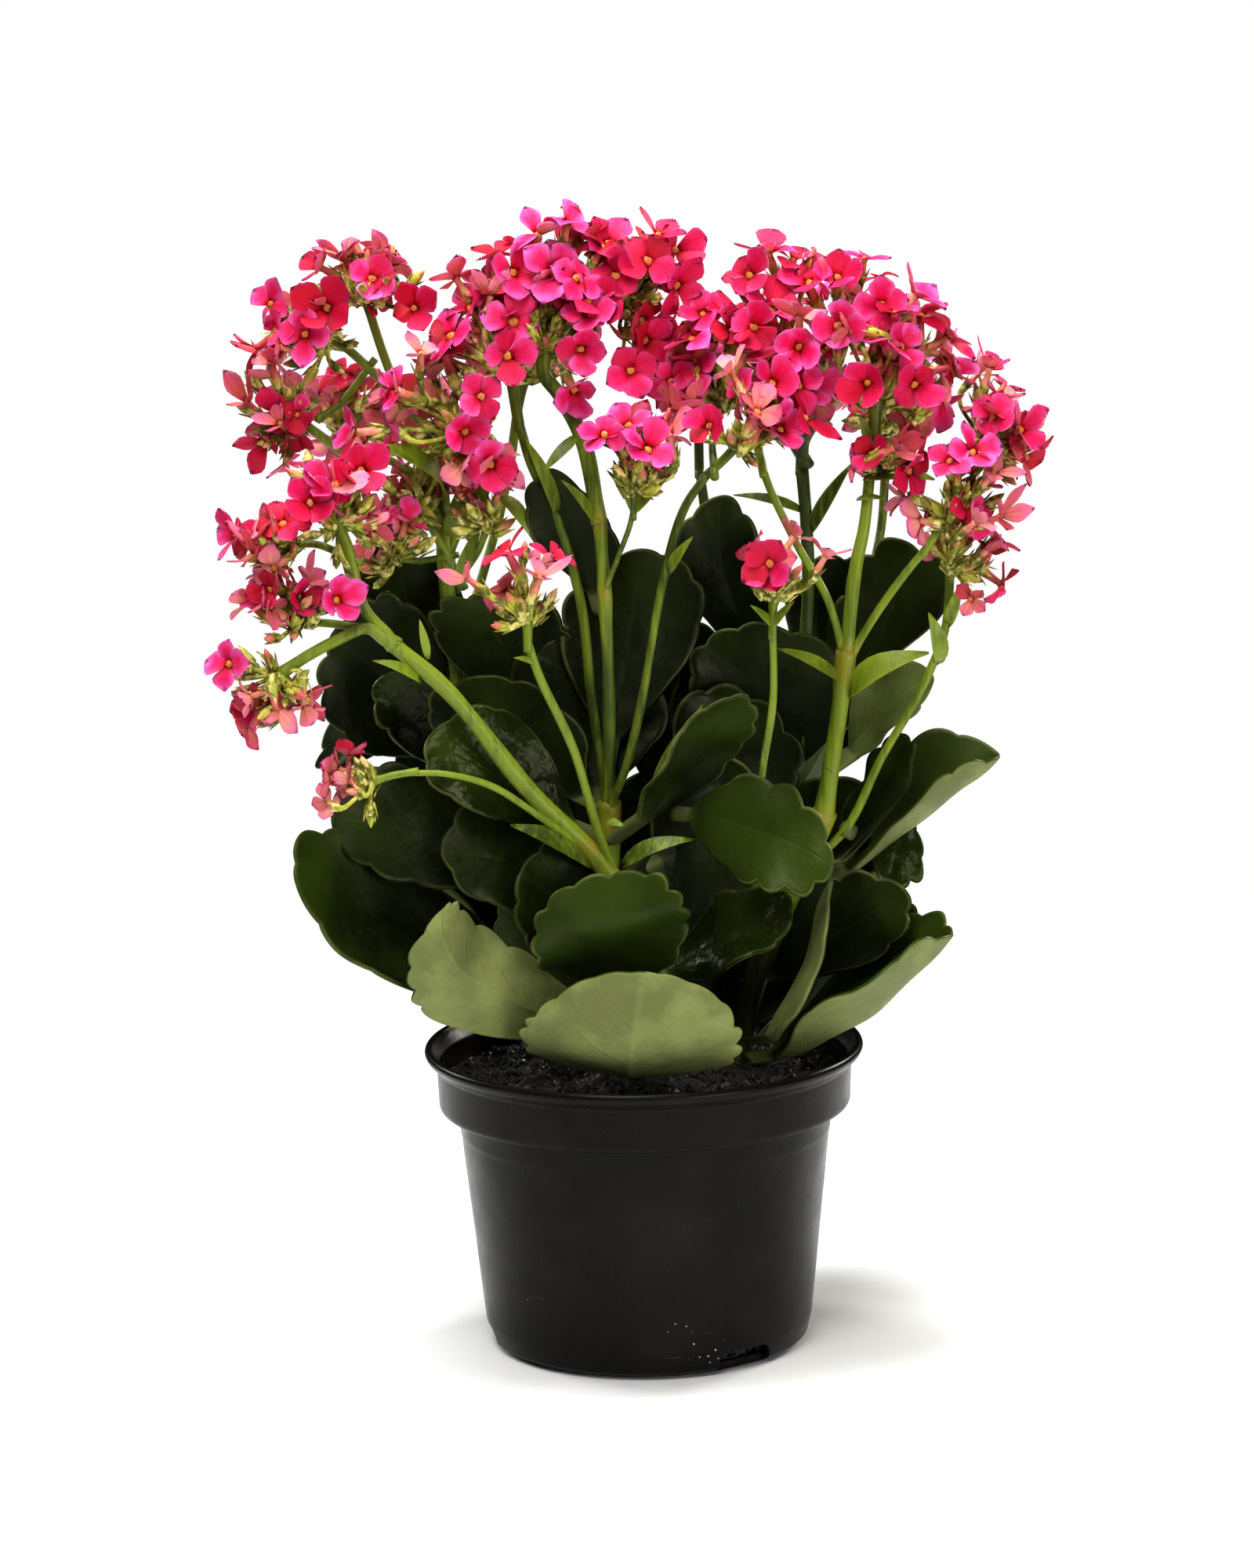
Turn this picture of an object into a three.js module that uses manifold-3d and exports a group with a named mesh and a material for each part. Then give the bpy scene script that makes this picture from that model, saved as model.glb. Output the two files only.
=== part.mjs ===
// Potted kalanchoe: a flowering succulent in a black plastic grow pot, with its peat, leaves,
// stems and flower heads as separate solids.
// Millimetres, +Z up. The origin is the middle of the pot's base and the front faces -Y.
import * as THREE from "three";
import { mergeVertices } from "three/addons/utils/BufferGeometryUtils.js";
import Module from "manifold-3d";

// Driving dimensions of the pot
const POT_HEIGHT = 83;
const RIM_RADIUS = 60;
const BAND_RADIUS = 56.3;
const BAND_BOTTOM = 66.6;
const BODY_TOP_RADIUS = 51.1;
const BODY_LOW_RADIUS = 44.9;
const BODY_LOW_HEIGHT = 7;
const FOOT_RADIUS = 40.6;
const FOOT_CORNER = 3;
const FOOT_CORNER_HEIGHT = 1.6;
const BAND_STEP = 1.2;
const BAND_FLARE = 0.4;
const LIP_HEIGHT = 5;
const LIP_EDGE = 1.2;
const WALL = 1.2;
const SLOT_WIDTH = 16;
const SLOT_HEIGHT = 4.2;
const SLOT_DEPTH = 14;
const SLOT_ANGLES = [-51, 189, 69];

// Driving dimensions of the peat, the leaves and the flowers
const PEAT_LEVEL = 75;
const PEAT_CROWN = 77.5;
const PEAT_SHOULDER = 1.2;
const GAP = 0.35;
const LEAF_THICKNESS = 2.2;
const LEAF_EDGE = 1;
const LEAF_MARGIN = 0.6;
const STALK_REACH = 0.1;
const FLOWER_WIDTH = 15;
const FLOWER_SPIN = 0.9;
const FLOWER_LIFT = 0.15;
const NOTCH_SHARE = 0.33;
const PETAL_RISE = 0.3;
const CENTRE_RISE = 0.7;
const THROAT_RADIUS = 1.5;
const THROAT_DEPTH = 1.6;
const HUB_RADIUS = 2.2;

// Places are read in a front view. x and z are where a point shows in the upright plane through
// the pot's axis, seen from the eye point, and depth is its true Y.
const EYE_X = -3.1;
const EYE_DISTANCE = 1471.5;
const EYE_HEIGHT = 445.8;

const ROUND_SIDES = 40;
const STEM_SIDES = 6;
const STALK_SIDES = 4;
const STALK_RADIUS = 1.7;

// A stem has a foot on the peat and lines. A line has a radius and the places it passes,
// [x, z, depth]; the first line starts at the foot.
const STEMS = {
  stem_front_left: {
    foot: [-1, -9],
    lines: [
      [3.6, [[-3, 104, -14], [-6, 129, -20]]],
      [2.7, [[-6, 127, -20], [-14, 137, -22], [-30, 154, -26], [-51, 181.5, -31], [-66, 195, -34]]],
      [1.1, [[-14, 136, -22], [-28, 147, -30], [-40, 155, -36], [-52, 158.5, -40], [-62, 159, -42]]],
      [1.5, [[-7, 130, -20], [-11.5, 143, -26], [-17.5, 165, -34], [-26, 184.5, -40], [-29, 194, -42]]],
    ],
  },
  stem_centre: {
    foot: [-6, 10],
    lines: [
      [3.4, [[-8, 110, 3], [-8, 150, -2]]],
      [2.1, [[-8, 148, -2], [-7.5, 182, -6], [-8, 205, -8], [-9, 228, -8]]],
      [2.3, [[-9, 226, -8], [-13, 249, -6], [-19, 261, -5]]],
      [
        1.6,
        [[-8, 146, 0], [-12, 177, 6], [-14.5, 205, 6], [-20.5, 228, 4], [-27, 243, 2], [-30, 254, 1]],
      ],
      [
        1.4,
        [
          [-8, 148, -3], [-3, 160, -10], [1.5, 178, -13], [8, 211, -16], [14, 230, -18],
          [20, 238.5, -19],
        ],
      ],
      [0.9, [[-8.6, 206, -8], [-4.6, 216, -13], [-1, 225, -18], [0, 229, -20]]],
    ],
  },
  stem_right: {
    foot: [24, 0],
    lines: [
      [3.6, [[33, 106, -3], [46, 135, -6], [50.6, 146, -8]]],
      [2.9, [[50, 144, -8], [54.8, 174, -12], [56.8, 190, -13]]],
      [2.1, [[56.6, 188, -13], [59.7, 213, -14], [62, 223.5, -14], [64.2, 243, -14], [65, 250, -14]]],
      [1.3, [[56.5, 187, -12], [52, 204, -16], [44.6, 218, -12], [37.3, 233.5, -10], [35, 240, -9]]],
      [1.3, [[57, 187, -13], [65, 200, -16], [72.8, 210.6, -18], [79, 218, -19]]],
      [1.3, [[33, 106, -3], [31, 130, -16], [33.5, 156.5, -28], [36.8, 177, -34], [37, 196, -38]]],
      [
        1.4,
        [
          [44, 130, -5], [56, 141, -6], [66, 160.5, -10], [76, 177.5, -12], [83, 193.5, -12],
          [84.5, 203, -12],
        ],
      ],
    ],
  },
  stem_back_right: {
    foot: [20, 26],
    lines: [
      [2.6, [[34, 130, 28], [43, 170, 30]]],
      [2.2, [[42.5, 168, 30], [46.6, 205, 28], [46.5, 224, 26], [45.5, 240, 24]]],
      [1.6, [[42, 166, 31], [34, 190, 46], [22, 215, 57], [18, 240, 61]]],
      [1.6, [[43.5, 172, 31], [58, 195, 45], [66, 220, 55], [68, 240, 59]]],
    ],
  },
  stem_back_left: {
    foot: [-22, 22],
    lines: [
      [2.6, [[-34, 125, 24], [-45, 165, 24], [-50, 205, 22], [-50.3, 230, 20]]],
      [1.5, [[-50.2, 226, 20], [-58, 240, 16], [-68, 245.5, 14], [-77, 247, 13]]],
      [1.6, [[-50.3, 228, 20], [-51, 242, 16], [-56, 254, 14]]],
      [1.4, [[-50, 218, 21], [-44, 232, 14], [-42, 240, 6]]],
      [1.6, [[-46, 168, 26], [-44, 200, 46], [-36, 228, 58], [-32, 246, 61]]],
      [1.6, [[-46, 172, 25], [-60, 195, 44], [-68, 220, 54]]],
    ],
  },
};

// A flower head has stalks, lines like a stem's, and clusters. A cluster has the place of its
// node and its flowers, [x, z, depth, turn, width share]. A turn of 1 faces the front, -1 the
// back, and at 0 the flower follows its stalk.
const HEADS = {
  flowers_left: {
    stalks: [
      [
        1.5,
        [[-66.8, 195.8, -34], [-72, 199, -36], [-79, 196.5, -37], [-88, 192, -37], [-96, 187, -37]],
      ],
      [1.5, [[-67, 196.5, -34.2], [-73, 205, -35], [-76.6, 220.7, -35], [-80, 229, -34]]],
      [1.1, [[-70, 198.6, -35], [-83, 200.5, -33], [-91, 201, -32]]],
      [1, [[-76, 218, -35], [-85, 222, -32], [-92, 222, -30]]],
    ],
    clusters: [
      [
        [-96, 187, -37],
        [
          [-110, 190, -40, 0.3], [-104, 181, -42, 0.5, 0.8], [-97.5, 177, -44, 0.3],
          [-90, 178, -40, 0], [-106, 173, -36, 0, 0.8],
        ],
      ],
      [
        [-80, 229, -34],
        [
          [-79, 238.5, -44, 0.8, 1.15], [-72.5, 242, -36, 0.5], [-86.5, 233.5, -44, 0.8],
          [-70, 226, -30, 0.2, 0.8],
        ],
      ],
      [
        [-91, 201, -32],
        [
          [-80, 207, -42, 0.6], [-104, 206.5, -36, 0], [-98, 210, -40, 0.3, 0.8],
          [-88, 212.5, -36, 0, 0.9],
        ],
      ],
      [
        [-92, 222, -30],
        [[-98, 228, -40, 0.6], [-107, 225, -32, 0.4], [-102, 219.5, -38, 0.5], [-97, 215.5, -40, 0.5]],
      ],
    ],
  },
  flowers_low_left: {
    stalks: [[1, [[-62.8, 159, -42], [-67, 158.3, -42], [-72, 156.8, -42]]]],
    clusters: [
      [
        [-72, 156.8, -42],
        [[-83.5, 158, -43, 0.2, 0.8], [-84, 151, -44, 0.3, 0.8], [-81, 160.5, -40, 0, 0.7]],
      ],
    ],
  },
  flowers_front_left: {
    stalks: [[1.2, [[-29, 195, -42], [-29, 200, -42]]]],
    clusters: [
      [
        [-29, 200, -42],
        [
          [-25.4, 212, -50, 0.85], [-34, 219, -44, 0.3], [-45, 212, -44, 0, 0.9],
          [-22, 217, -38, 0.1, 0.8], [-33, 209, -34, -0.3, 0.8],
        ],
      ],
    ],
  },
  flowers_upper_left: {
    stalks: [
      [1.3, [[-78, 247.2, 13], [-84, 252, 12], [-92, 258, 12]]],
      [1.2, [[-56.6, 254.8, 14], [-62, 261, 14], [-74.6, 274, 12], [-80, 278, 12]]],
      [1.2, [[-61, 259.5, 14], [-66, 274, 12], [-70, 288, 10]]],
      [1, [[-77, 260, 14], [-84, 255.5, 13]]],
      [1, [[-70, 269, 13], [-77, 260, 14]]],
    ],
    clusters: [
      [
        [-92, 258, 12],
        [
          [-95.5, 271.5, 6, 0.3], [-102.5, 261, 6, 0.2], [-94, 255, 2, 0.4, 0.9],
          [-98, 250, 6, 0.2, 0.9], [-92.5, 244, 8, 0.2, 0.8], [-90, 262, 22, -0.5],
        ],
      ],
      [
        [-80, 278, 12],
        [
          [-80.5, 285.5, 4, 0.5, 1.1], [-95.5, 287, 10, 0, 0.9], [-94.5, 280, 8, 0.1, 0.9],
          [-86.5, 278.5, 2, 0.4], [-100, 275, 10, 0, 0.9], [-84, 288, 20, -0.4],
        ],
      ],
      [
        [-70, 288, 10],
        [
          [-76, 300, 8, 0], [-82, 296.5, 8, 0, 0.9], [-63.5, 297, 10, 0], [-68, 293, 2, 0.4],
          [-57.2, 285, 2, 0.85, 0.95], [-70, 298, 20, -0.4],
        ],
      ],
    ],
  },
  flowers_inner_left: {
    stalks: [[1.3, [[-42, 240.5, 5.6], [-42.5, 246, 1], [-44, 251, -2]]]],
    clusters: [
      [
        [-44, 251, -2],
        [
          [-37.8, 242.5, -14, 0.9, 1.1], [-44.5, 251.5, -12, 0.6], [-55.7, 273, -12, 0.85],
          [-62.5, 263, -10, 0.2], [-74, 252, -10, 0.1], [-64, 250, -4, 0], [-40, 261, -14, 0.8, 0.95],
          [-52, 259, 10, -0.4],
        ],
      ],
    ],
  },
  flowers_crown_left: {
    stalks: [[1.5, [[-30.2, 255, 1], [-31.3, 263, 0], [-32, 268, 0]]]],
    clusters: [
      [
        [-32, 268, 0],
        [
          [-48, 277.5, -4, 0.4, 1.2], [-42.5, 285, 0, 0.3], [-36.8, 288, -6, 0.3],
          [-30.8, 281, -10, 0.7, 1.15], [-32.4, 271.6, -14, 0.95, 1.05], [-46, 293, 4, 0.1, 0.9],
          [-30.4, 294, -6, 0.8, 1.1], [-35, 299, 4, 0], [-40, 278, 12, -0.5], [-28, 290, 14, -0.3],
        ],
      ],
    ],
  },
  flowers_crown: {
    stalks: [
      [1.9, [[-19.6, 262, -5], [-23, 267, -5], [-22, 275, -5]]],
      [1.4, [[-22, 274, -5], [-12, 280, 2], [0, 286, 4]]],
    ],
    clusters: [
      [
        [-22, 275, -5],
        [
          [-19.6, 293.5, -10, 0.6, 1.1], [-13.5, 292, -12, 0.6], [-23.5, 304.5, -4, 0.2, 0.9],
          [-15.8, 307, -4, 0], [-11, 306, 4, 0, 0.9], [-12.9, 273, -16, 0.9], [-11, 282.5, -12, 0.6],
          [-15, 262, -10, 0.5], [-24, 290, 8, -0.4],
        ],
      ],
      [
        [0, 286, 4],
        [
          [-3.5, 292.5, -8, 0.8, 1.1], [-5, 301.5, -2, 0.4], [8.3, 303.5, 0, 0.3], [13, 299, 4, 0.2],
          [5.3, 296.5, -6, 0.5, 1.1], [-6, 284.5, -10, 0.6], [4.5, 275, -4, 0.5],
          [0.2, 267, -12, 0.85], [11, 264, -6, 0.6, 0.9], [6, 294, 16, -0.5],
        ],
      ],
    ],
  },
  flowers_front_centre: {
    stalks: [[0.9, [[0.2, 230, -20.4], [0.5, 236, -23]]]],
    clusters: [
      [
        [0.5, 236, -23],
        [
          [-7.4, 250, -30, 0.7, 0.9], [-1, 252.5, -27, 0.5, 0.9], [4.3, 246, -32, 0.4],
          [10, 250, -26, 0.3, 1.1], [11, 256.5, -20, 0, 0.9],
        ],
      ],
    ],
  },
  flowers_centre_right: {
    stalks: [
      [1.2, [[20.8, 239.2, -19], [24, 242, -20], [29, 247, -21]]],
      [0.9, [[22, 240.4, -19.4], [21.7, 249, -12], [24.4, 257, -6]]],
    ],
    clusters: [
      [
        [29, 247, -21],
        [
          [34, 255.5, -34, 0.95, 1.3], [27, 266.5, -28, 0.6], [47, 253.5, -24, 0.1, 1.1],
          [40, 250.5, -28, 0.2], [38, 263, -26, 0.4],
        ],
      ],
      [
        [24.4, 257, -6],
        [
          [19.6, 282, -4, 0.5, 0.95], [16.5, 275.5, -8, 0.5, 1.1], [18, 267, -10, 0.4],
          [33.3, 278, -12, 0.7, 1.1], [24, 272, 8, -0.4],
        ],
      ],
    ],
  },
  flowers_right_mid: {
    stalks: [[1.2, [[34.8, 241, -9], [33.8, 247, -6], [36, 254, -3]]]],
    clusters: [
      [
        [36, 254, -3],
        [
          [45.5, 281, -12, 0.6, 1.25], [45, 272.5, -18, 0.85, 1], [48, 262, -12, 0.3], [37, 270, 6, 0],
          [54, 262, -4, 0],
        ],
      ],
    ],
  },
  flowers_back_right: {
    stalks: [
      [1.7, [[45.6, 241, 24], [46, 247, 20], [50, 254, 14]]],
      [1.3, [[45.8, 243, 23], [41, 251, 18], [39, 262, 12]]],
    ],
    clusters: [
      [
        [50, 254, 14],
        [[55.7, 291, 4, 0.5], [48, 290, 2, 0.4], [60, 285, 12, -0.2], [63, 296, 10, 0, 0.8]],
      ],
      [
        [39, 262, 12],
        [[32.3, 292, 2, 0.85], [37.2, 298, 8, 0], [44, 296, 8, 0, 0.9], [34, 284, 12, -0.2]],
      ],
    ],
  },
  flowers_right: {
    stalks: [[1.7, [[65.1, 251, -14], [65.6, 258, -13]]], [0.9, [[64.6, 246, -14], [68, 241, -18]]]],
    clusters: [
      [
        [65.6, 258, -13],
        [
          [63.2, 262.5, -26, 0.95], [76, 261.8, -24, 0.95], [55.8, 277.8, -20, 0.85, 1.05],
          [65.8, 275, -18, 0.5, 1.15], [67.3, 283.5, -14, 0.6], [76.5, 286, -8, 0.3, 1.1],
          [72.5, 272, -20, 0.5], [85, 274, -8, 0.2, 1.1], [87, 265, -10, 0.2],
          [84, 257.5, -14, 0.2, 1.1], [74, 278, 4, -0.4],
        ],
      ],
      [[68, 241, -18], [[70.7, 245, -28, 0.7], [74.5, 238.5, -24, 0.3], [60, 242, -18, 0, 0.8]]],
    ],
  },
  flowers_outer_right: {
    stalks: [
      [1.1, [[79.3, 218.4, -19], [85, 227, -19]]],
      [1, [[85, 226, -19], [91, 236, -14], [94, 246, -8]]],
    ],
    clusters: [
      [
        [85, 227, -19],
        [
          [77, 225, -20, -0.4, 0.9], [92, 224.5, -30, 0.6, 0.9], [99, 226, -24, 0.5, 0.9],
          [85, 241, -26, 0.2, 0.9], [91.5, 243.5, -24, 0.4], [97, 238, -24, 0.3],
        ],
      ],
      [
        [94, 246, -8],
        [
          [99.5, 257.5, -12, 0.5], [104.5, 249, -12, 0.4], [97, 253, -18, 0.4, 0.9],
          [96, 266, -4, 0, 0.8], [106, 241.5, -10, 0.1, 0.9], [98, 250, 4, -0.4],
        ],
      ],
    ],
  },
  flowers_low_right: {
    stalks: [[1.2, [[84.6, 204, -12], [85, 213, -12]]]],
    clusters: [
      [
        [85, 213, -12],
        [
          [99, 207, -14, 0, 0.9], [97, 219, -16, 0, 0.9], [90, 222, -8, 0, 0.8],
          [80, 218, -4, -0.3, 0.8],
        ],
      ],
    ],
  },
  flowers_front_right: {
    stalks: [[1.1, [[37, 197, -38], [37.3, 205, -38]]]],
    clusters: [
      [
        [37.3, 205, -38],
        [
          [36.3, 214.3, -48, 0.9], [43, 221.5, -40, 0.2, 0.9], [51.5, 216, -38, 0, 0.9],
          [33, 218, -30, -0.3, 0.8],
        ],
      ],
    ],
  },
  flowers_back_left: {
    stalks: [[1.3, [[-68.3, 221, 55], [-72, 240, 53], [-72, 252, 51]]]],
    clusters: [
      [
        [-72, 252, 51],
        [
          [-84, 262, 51, -0.3], [-76, 268, 59, -0.4], [-66, 266, 55, -0.2], [-80, 250, 59, -0.5],
          [-70, 256, 65, -0.8], [-60, 262, 61, -0.6],
        ],
      ],
    ],
  },
  flowers_back_crown: {
    stalks: [[1.3, [[-31.8, 247, 61], [-30, 258, 59], [-28, 266, 57]]]],
    clusters: [
      [
        [-28, 266, 57],
        [
          [-40, 276, 61, -0.4], [-32, 286, 57, -0.1], [-20, 288, 57, -0.1], [-14, 276, 63, -0.5],
          [-34, 270, 71, -0.8], [-22, 274, 73, -0.8], [-28, 284, 67, -0.5],
        ],
      ],
    ],
  },
  flowers_back_centre: {
    stalks: [[1.3, [[18, 241, 61], [18, 256, 57]]]],
    clusters: [
      [
        [18, 256, 57],
        [
          [8, 266, 59, -0.3], [16, 274, 53, -0.1], [26, 270, 59, -0.3], [30, 262, 65, -0.6],
          [12, 262, 69, -0.8], [22, 266, 71, -0.8], [6, 280, 53, -0.2],
        ],
      ],
    ],
  },
  flowers_back_outer: {
    stalks: [[1.3, [[68.1, 241, 59], [68, 252, 55]]]],
    clusters: [
      [
        [68, 252, 55],
        [
          [56, 262, 57, -0.3], [64, 270, 51, -0.2], [76, 268, 53, -0.2], [82, 258, 55, -0.3],
          [66, 258, 69, -0.8], [76, 256, 67, -0.8], [70, 276, 43, -0.2],
        ],
      ],
    ],
  },
};

// A leaf has the places of its base, the middle of its midrib, its tip, its left and right edges
// beside that middle and, where its base is away from the stem, the foot of its stalk. Left is
// seen from the base, with the upper side up.
const LEAVES = {
  leaf_front_low: [[-2, 81, -14], [-4, 76, -44], [0, 101, -57], [25, 76, -46], [-33, 80, -42]],
  leaf_left_low: [[-6, 84, -14], [-46, 101, -42], [-53, 120, -48], [-38, 112, -34], [-58, 92, -46]],
  leaf_front_inner: [[-3, 128, -24], [-6, 123, -40], [-8, 102, -55], [12, 114, -42], [-28, 112, -40]],
  leaf_right_mid: [[10, 147, -12], [32, 142, -38], [54, 130, -48], [36, 159, -30], [28, 124, -42]],
  leaf_right_edge: [
    [33, 80, -22], [43, 99, -30], [52, 125, -32], [46, 97, -46], [40, 102, -12], [27, 82, -1],
  ],
  leaf_right_low: [[30, 78, -6], [58, 88, -22], [83, 111, -24], [60, 110, 0], [53, 95, -40]],
  leaf_left_long: [
    [-22, 92, -8], [-62, 111, -16], [-93, 140, -22], [-72, 103, -34], [-55, 127, -6], [-3, 93, -11],
  ],
  leaf_front_shade: [
    [-6, 108, -12], [-18, 119, -22], [-33, 130, -28], [-28, 108, -26], [-14, 136, -14],
  ],
  leaf_right_gloss: [
    [4, 100, -10], [23, 110, -24], [40, 122, -32], [20, 118, -12], [30, 103, -34], [-2.6, 99, -13],
  ],
  leaf_right_shade: [[30, 99, -2], [54, 112, -8], [71, 123, -14], [46, 124, -4], [62, 104, -16]],
  leaf_right_outer: [
    [50, 126, 4], [78, 146, 2], [97, 160, 4], [67, 160, 16], [73, 150, -14], [41, 125, -5],
  ],
  leaf_left_dark: [
    [-14, 130, 0], [-55, 141, -10], [-83, 147, -12], [-58, 127, -14], [-58, 158, 0], [-8, 128, 1],
  ],
  leaf_left_inner: [
    [-12, 126, -5], [-34, 133, -18], [-53, 137, -24], [-34, 119, -24], [-36, 149, -10], [-8, 124, 1],
  ],
  leaf_left_streak: [
    [-14, 140, -6], [-38, 157, -18], [-56, 168, -20], [-45, 148, -22], [-30, 172, -12], [-8, 139, 0],
  ],
  leaf_left_scalloped: [
    [-13, 149, 6], [-32, 166, 0], [-41, 185, 2], [-53, 170, 4], [-16, 172, -2], [-8, 147, 1],
  ],
  leaf_left_gloss: [
    [-46, 154, 16], [-60, 173, 8], [-70, 184, 6], [-65, 168, 8], [-52, 184, 6], [-42, 152, 24],
  ],
  leaf_left_outer: [
    [-56, 176, 30], [-72, 172, 33], [-84, 170, 34], [-80, 160, 30], [-71, 181, 38], [-47, 174, 26],
  ],
  leaf_left_far: [[-46, 162, 26], [-65, 182, 24], [-81, 197, 22], [-77, 168, 22], [-57, 202, 22]],
  leaf_left_tall: [[-14, 160, 14], [-33, 188, 14], [-40, 207, 14], [-52, 194, 16], [-17, 196, 14]],
  leaf_left_high: [[-44, 175, 24], [-58, 198, 26], [-62, 216, 26], [-75, 204, 28], [-46, 206, 26]],
  leaf_right_small: [
    [60, 136, 4], [69, 137, 8], [76, 128, 4], [72, 144, 10], [65, 128, 4], [56, 141, -6],
  ],
  leaf_right_round: [
    [50, 128, 0], [65, 148, -4], [70, 166, -4], [58, 150, 2], [72, 152, -8], [43, 130, -5],
  ],
  leaf_right_lit: [
    [57, 160, -2], [66, 171, -2], [78, 183, -4], [68, 168, -6], [60, 182, 6], [52.4, 158, -9.5],
  ],
  leaf_right_tall: [[46, 176, 28], [67, 195, 24], [69, 219, 22], [54, 202, 28], [83, 202, 22]],
  leaf_centre_fold: [
    [-2, 142, -10], [14, 160, -14], [28, 179, -20], [6, 163, -22], [23, 160, -10], [-8, 139, -2],
  ],
  leaf_centre_tall: [[-8, 160, 4], [-2, 192, 12], [2, 218, 14], [-20, 196, 14], [17, 196, 14]],
  leaf_centre_high: [[41.5, 176, 31], [26, 206, 28], [24, 232, 26], [13, 211, 28], [36, 212, 28]],
  leaf_centre_dark: [[38, 150, 28], [36, 176, 20], [33, 198, 16], [15, 180, 20], [59, 178, 22]],
  leaf_back_left: [[-26, 100, 22], [-54, 110, 42], [-68, 128, 58], [-70, 101, 30], [-40, 120, 54]],
  leaf_back_low: [[-4, 92, 26], [-10, 96, 56], [-12, 104, 80], [-38, 92, 56], [18, 92, 56]],
  leaf_back_right: [[24, 96, 30], [42, 104, 56], [52, 118, 76], [18, 108, 66], [66, 102, 46]],
  leaf_back_outer: [
    [32, 94, 20], [56, 106, 32], [70, 122, 44], [46, 118, 50], [67, 101, 16], [26, 92, 26.5],
  ],
  leaf_back_high: [
    [-39, 140, 32], [-40, 160, 54], [-42, 180, 68], [-64, 160, 48], [-16, 160, 56], [-37.5, 137, 24],
  ],
  leaf_back_tall: [
    [38, 146, 36], [40, 168, 56], [42, 188, 68], [14, 168, 60], [62, 168, 52], [36.7, 141, 28.5],
  ],
};

const wasm = await Module();
wasm.setup();

// A three.js geometry as a closed solid.
function solid(geometry) {
  const bare = geometry.clone();
  for (const name of Object.keys(bare.attributes)) {
    if (name !== "position") bare.deleteAttribute(name);
  }
  const merged = mergeVertices(bare, 1e-4);
  return new wasm.Manifold(new wasm.Mesh({
    numProp: 3,
    vertProperties: merged.attributes.position.array,
    triVerts: new Uint32Array(merged.index.array),
  }));
}

// A solid from its points and its triangles, turned so that the faces point out.
function solidOf(points, faces) {
  const make = (triVerts) => new wasm.Manifold(new wasm.Mesh({
    numProp: 3,
    vertProperties: new Float32Array(points.flatMap((p) => [p.x, p.y, p.z])),
    triVerts: new Uint32Array(triVerts.flat()),
  }));
  const made = make(faces);
  return made.volume() > 0 ? made : make(faces.map(([a, b, c]) => [a, c, b]));
}

function geometryOf(made) {
  const mesh = made.getMesh();
  const position = new Float32Array(mesh.numVert * 3);
  for (let i = 0; i < mesh.numVert; i++) {
    position.set(mesh.vertProperties.subarray(i * mesh.numProp, i * mesh.numProp + 3), i * 3);
  }
  const geometry = new THREE.BufferGeometry();
  geometry.setAttribute("position", new THREE.BufferAttribute(position, 3));
  geometry.setIndex(new THREE.BufferAttribute(mesh.triVerts, 1));
  geometry.computeVertexNormals();
  return geometry;
}

// The true place of a point read in the front view.
function place([x, z, depth]) {
  const away = (EYE_DISTANCE + depth) / EYE_DISTANCE;
  return new THREE.Vector3(EYE_X + (x - EYE_X) * away, depth, EYE_HEIGHT - (EYE_HEIGHT - z) * away);
}

// A round solid about the Z axis from a profile of [radius, height] points.
function turned(profile) {
  const points = profile.map(([r, z]) => new THREE.Vector2(r, z));
  const geometry = new THREE.LatheGeometry(points, ROUND_SIDES);
  geometry.rotateX(Math.PI / 2);
  return solid(geometry);
}

// The pot: a thin tapered shell with a wide band under its flared lip.
function potSolid(grow) {
  const inner = WALL + grow;
  const lipRadius = BAND_RADIUS + BAND_FLARE;
  const shell = turned([
    [0, -grow],
    [FOOT_RADIUS, -grow],
    [FOOT_RADIUS + FOOT_CORNER + grow, FOOT_CORNER_HEIGHT],
    [BODY_LOW_RADIUS + grow, BODY_LOW_HEIGHT],
    [BODY_TOP_RADIUS + grow, BAND_BOTTOM - BAND_STEP],
    [BAND_RADIUS + grow, BAND_BOTTOM - grow],
    [lipRadius + grow, POT_HEIGHT - LIP_HEIGHT],
    [RIM_RADIUS + grow, POT_HEIGHT - LIP_EDGE],
    [RIM_RADIUS - LIP_EDGE / 2, POT_HEIGHT + grow],
    [RIM_RADIUS - 1.5 * LIP_EDGE, POT_HEIGHT + grow],
    [lipRadius - inner, POT_HEIGHT - LIP_HEIGHT + WALL / 2],
    [BAND_RADIUS - inner, BAND_BOTTOM + BAND_STEP],
    [BODY_TOP_RADIUS - inner, BAND_BOTTOM],
    [BODY_LOW_RADIUS - inner, BODY_LOW_HEIGHT + BAND_FLARE],
    [FOOT_RADIUS + FOOT_CORNER - WALL - grow, WALL + FOOT_CORNER_HEIGHT / 2 + grow],
    [FOOT_RADIUS - WALL - grow, WALL + grow],
    [0, WALL + grow],
  ]);
  return SLOT_ANGLES.reduce((pot, angle) => pot.subtract(slotSolid(angle)), shell);
}

// The block that cuts one drainage slot through the lower corner of the pot.
function slotSolid(angle) {
  const block = new THREE.BoxGeometry(SLOT_DEPTH, SLOT_WIDTH, SLOT_HEIGHT * 2);
  block.translate(FOOT_RADIUS + SLOT_DEPTH / 2, 0, 0);
  block.rotateZ(THREE.MathUtils.degToRad(angle));
  return solid(block);
}

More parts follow.
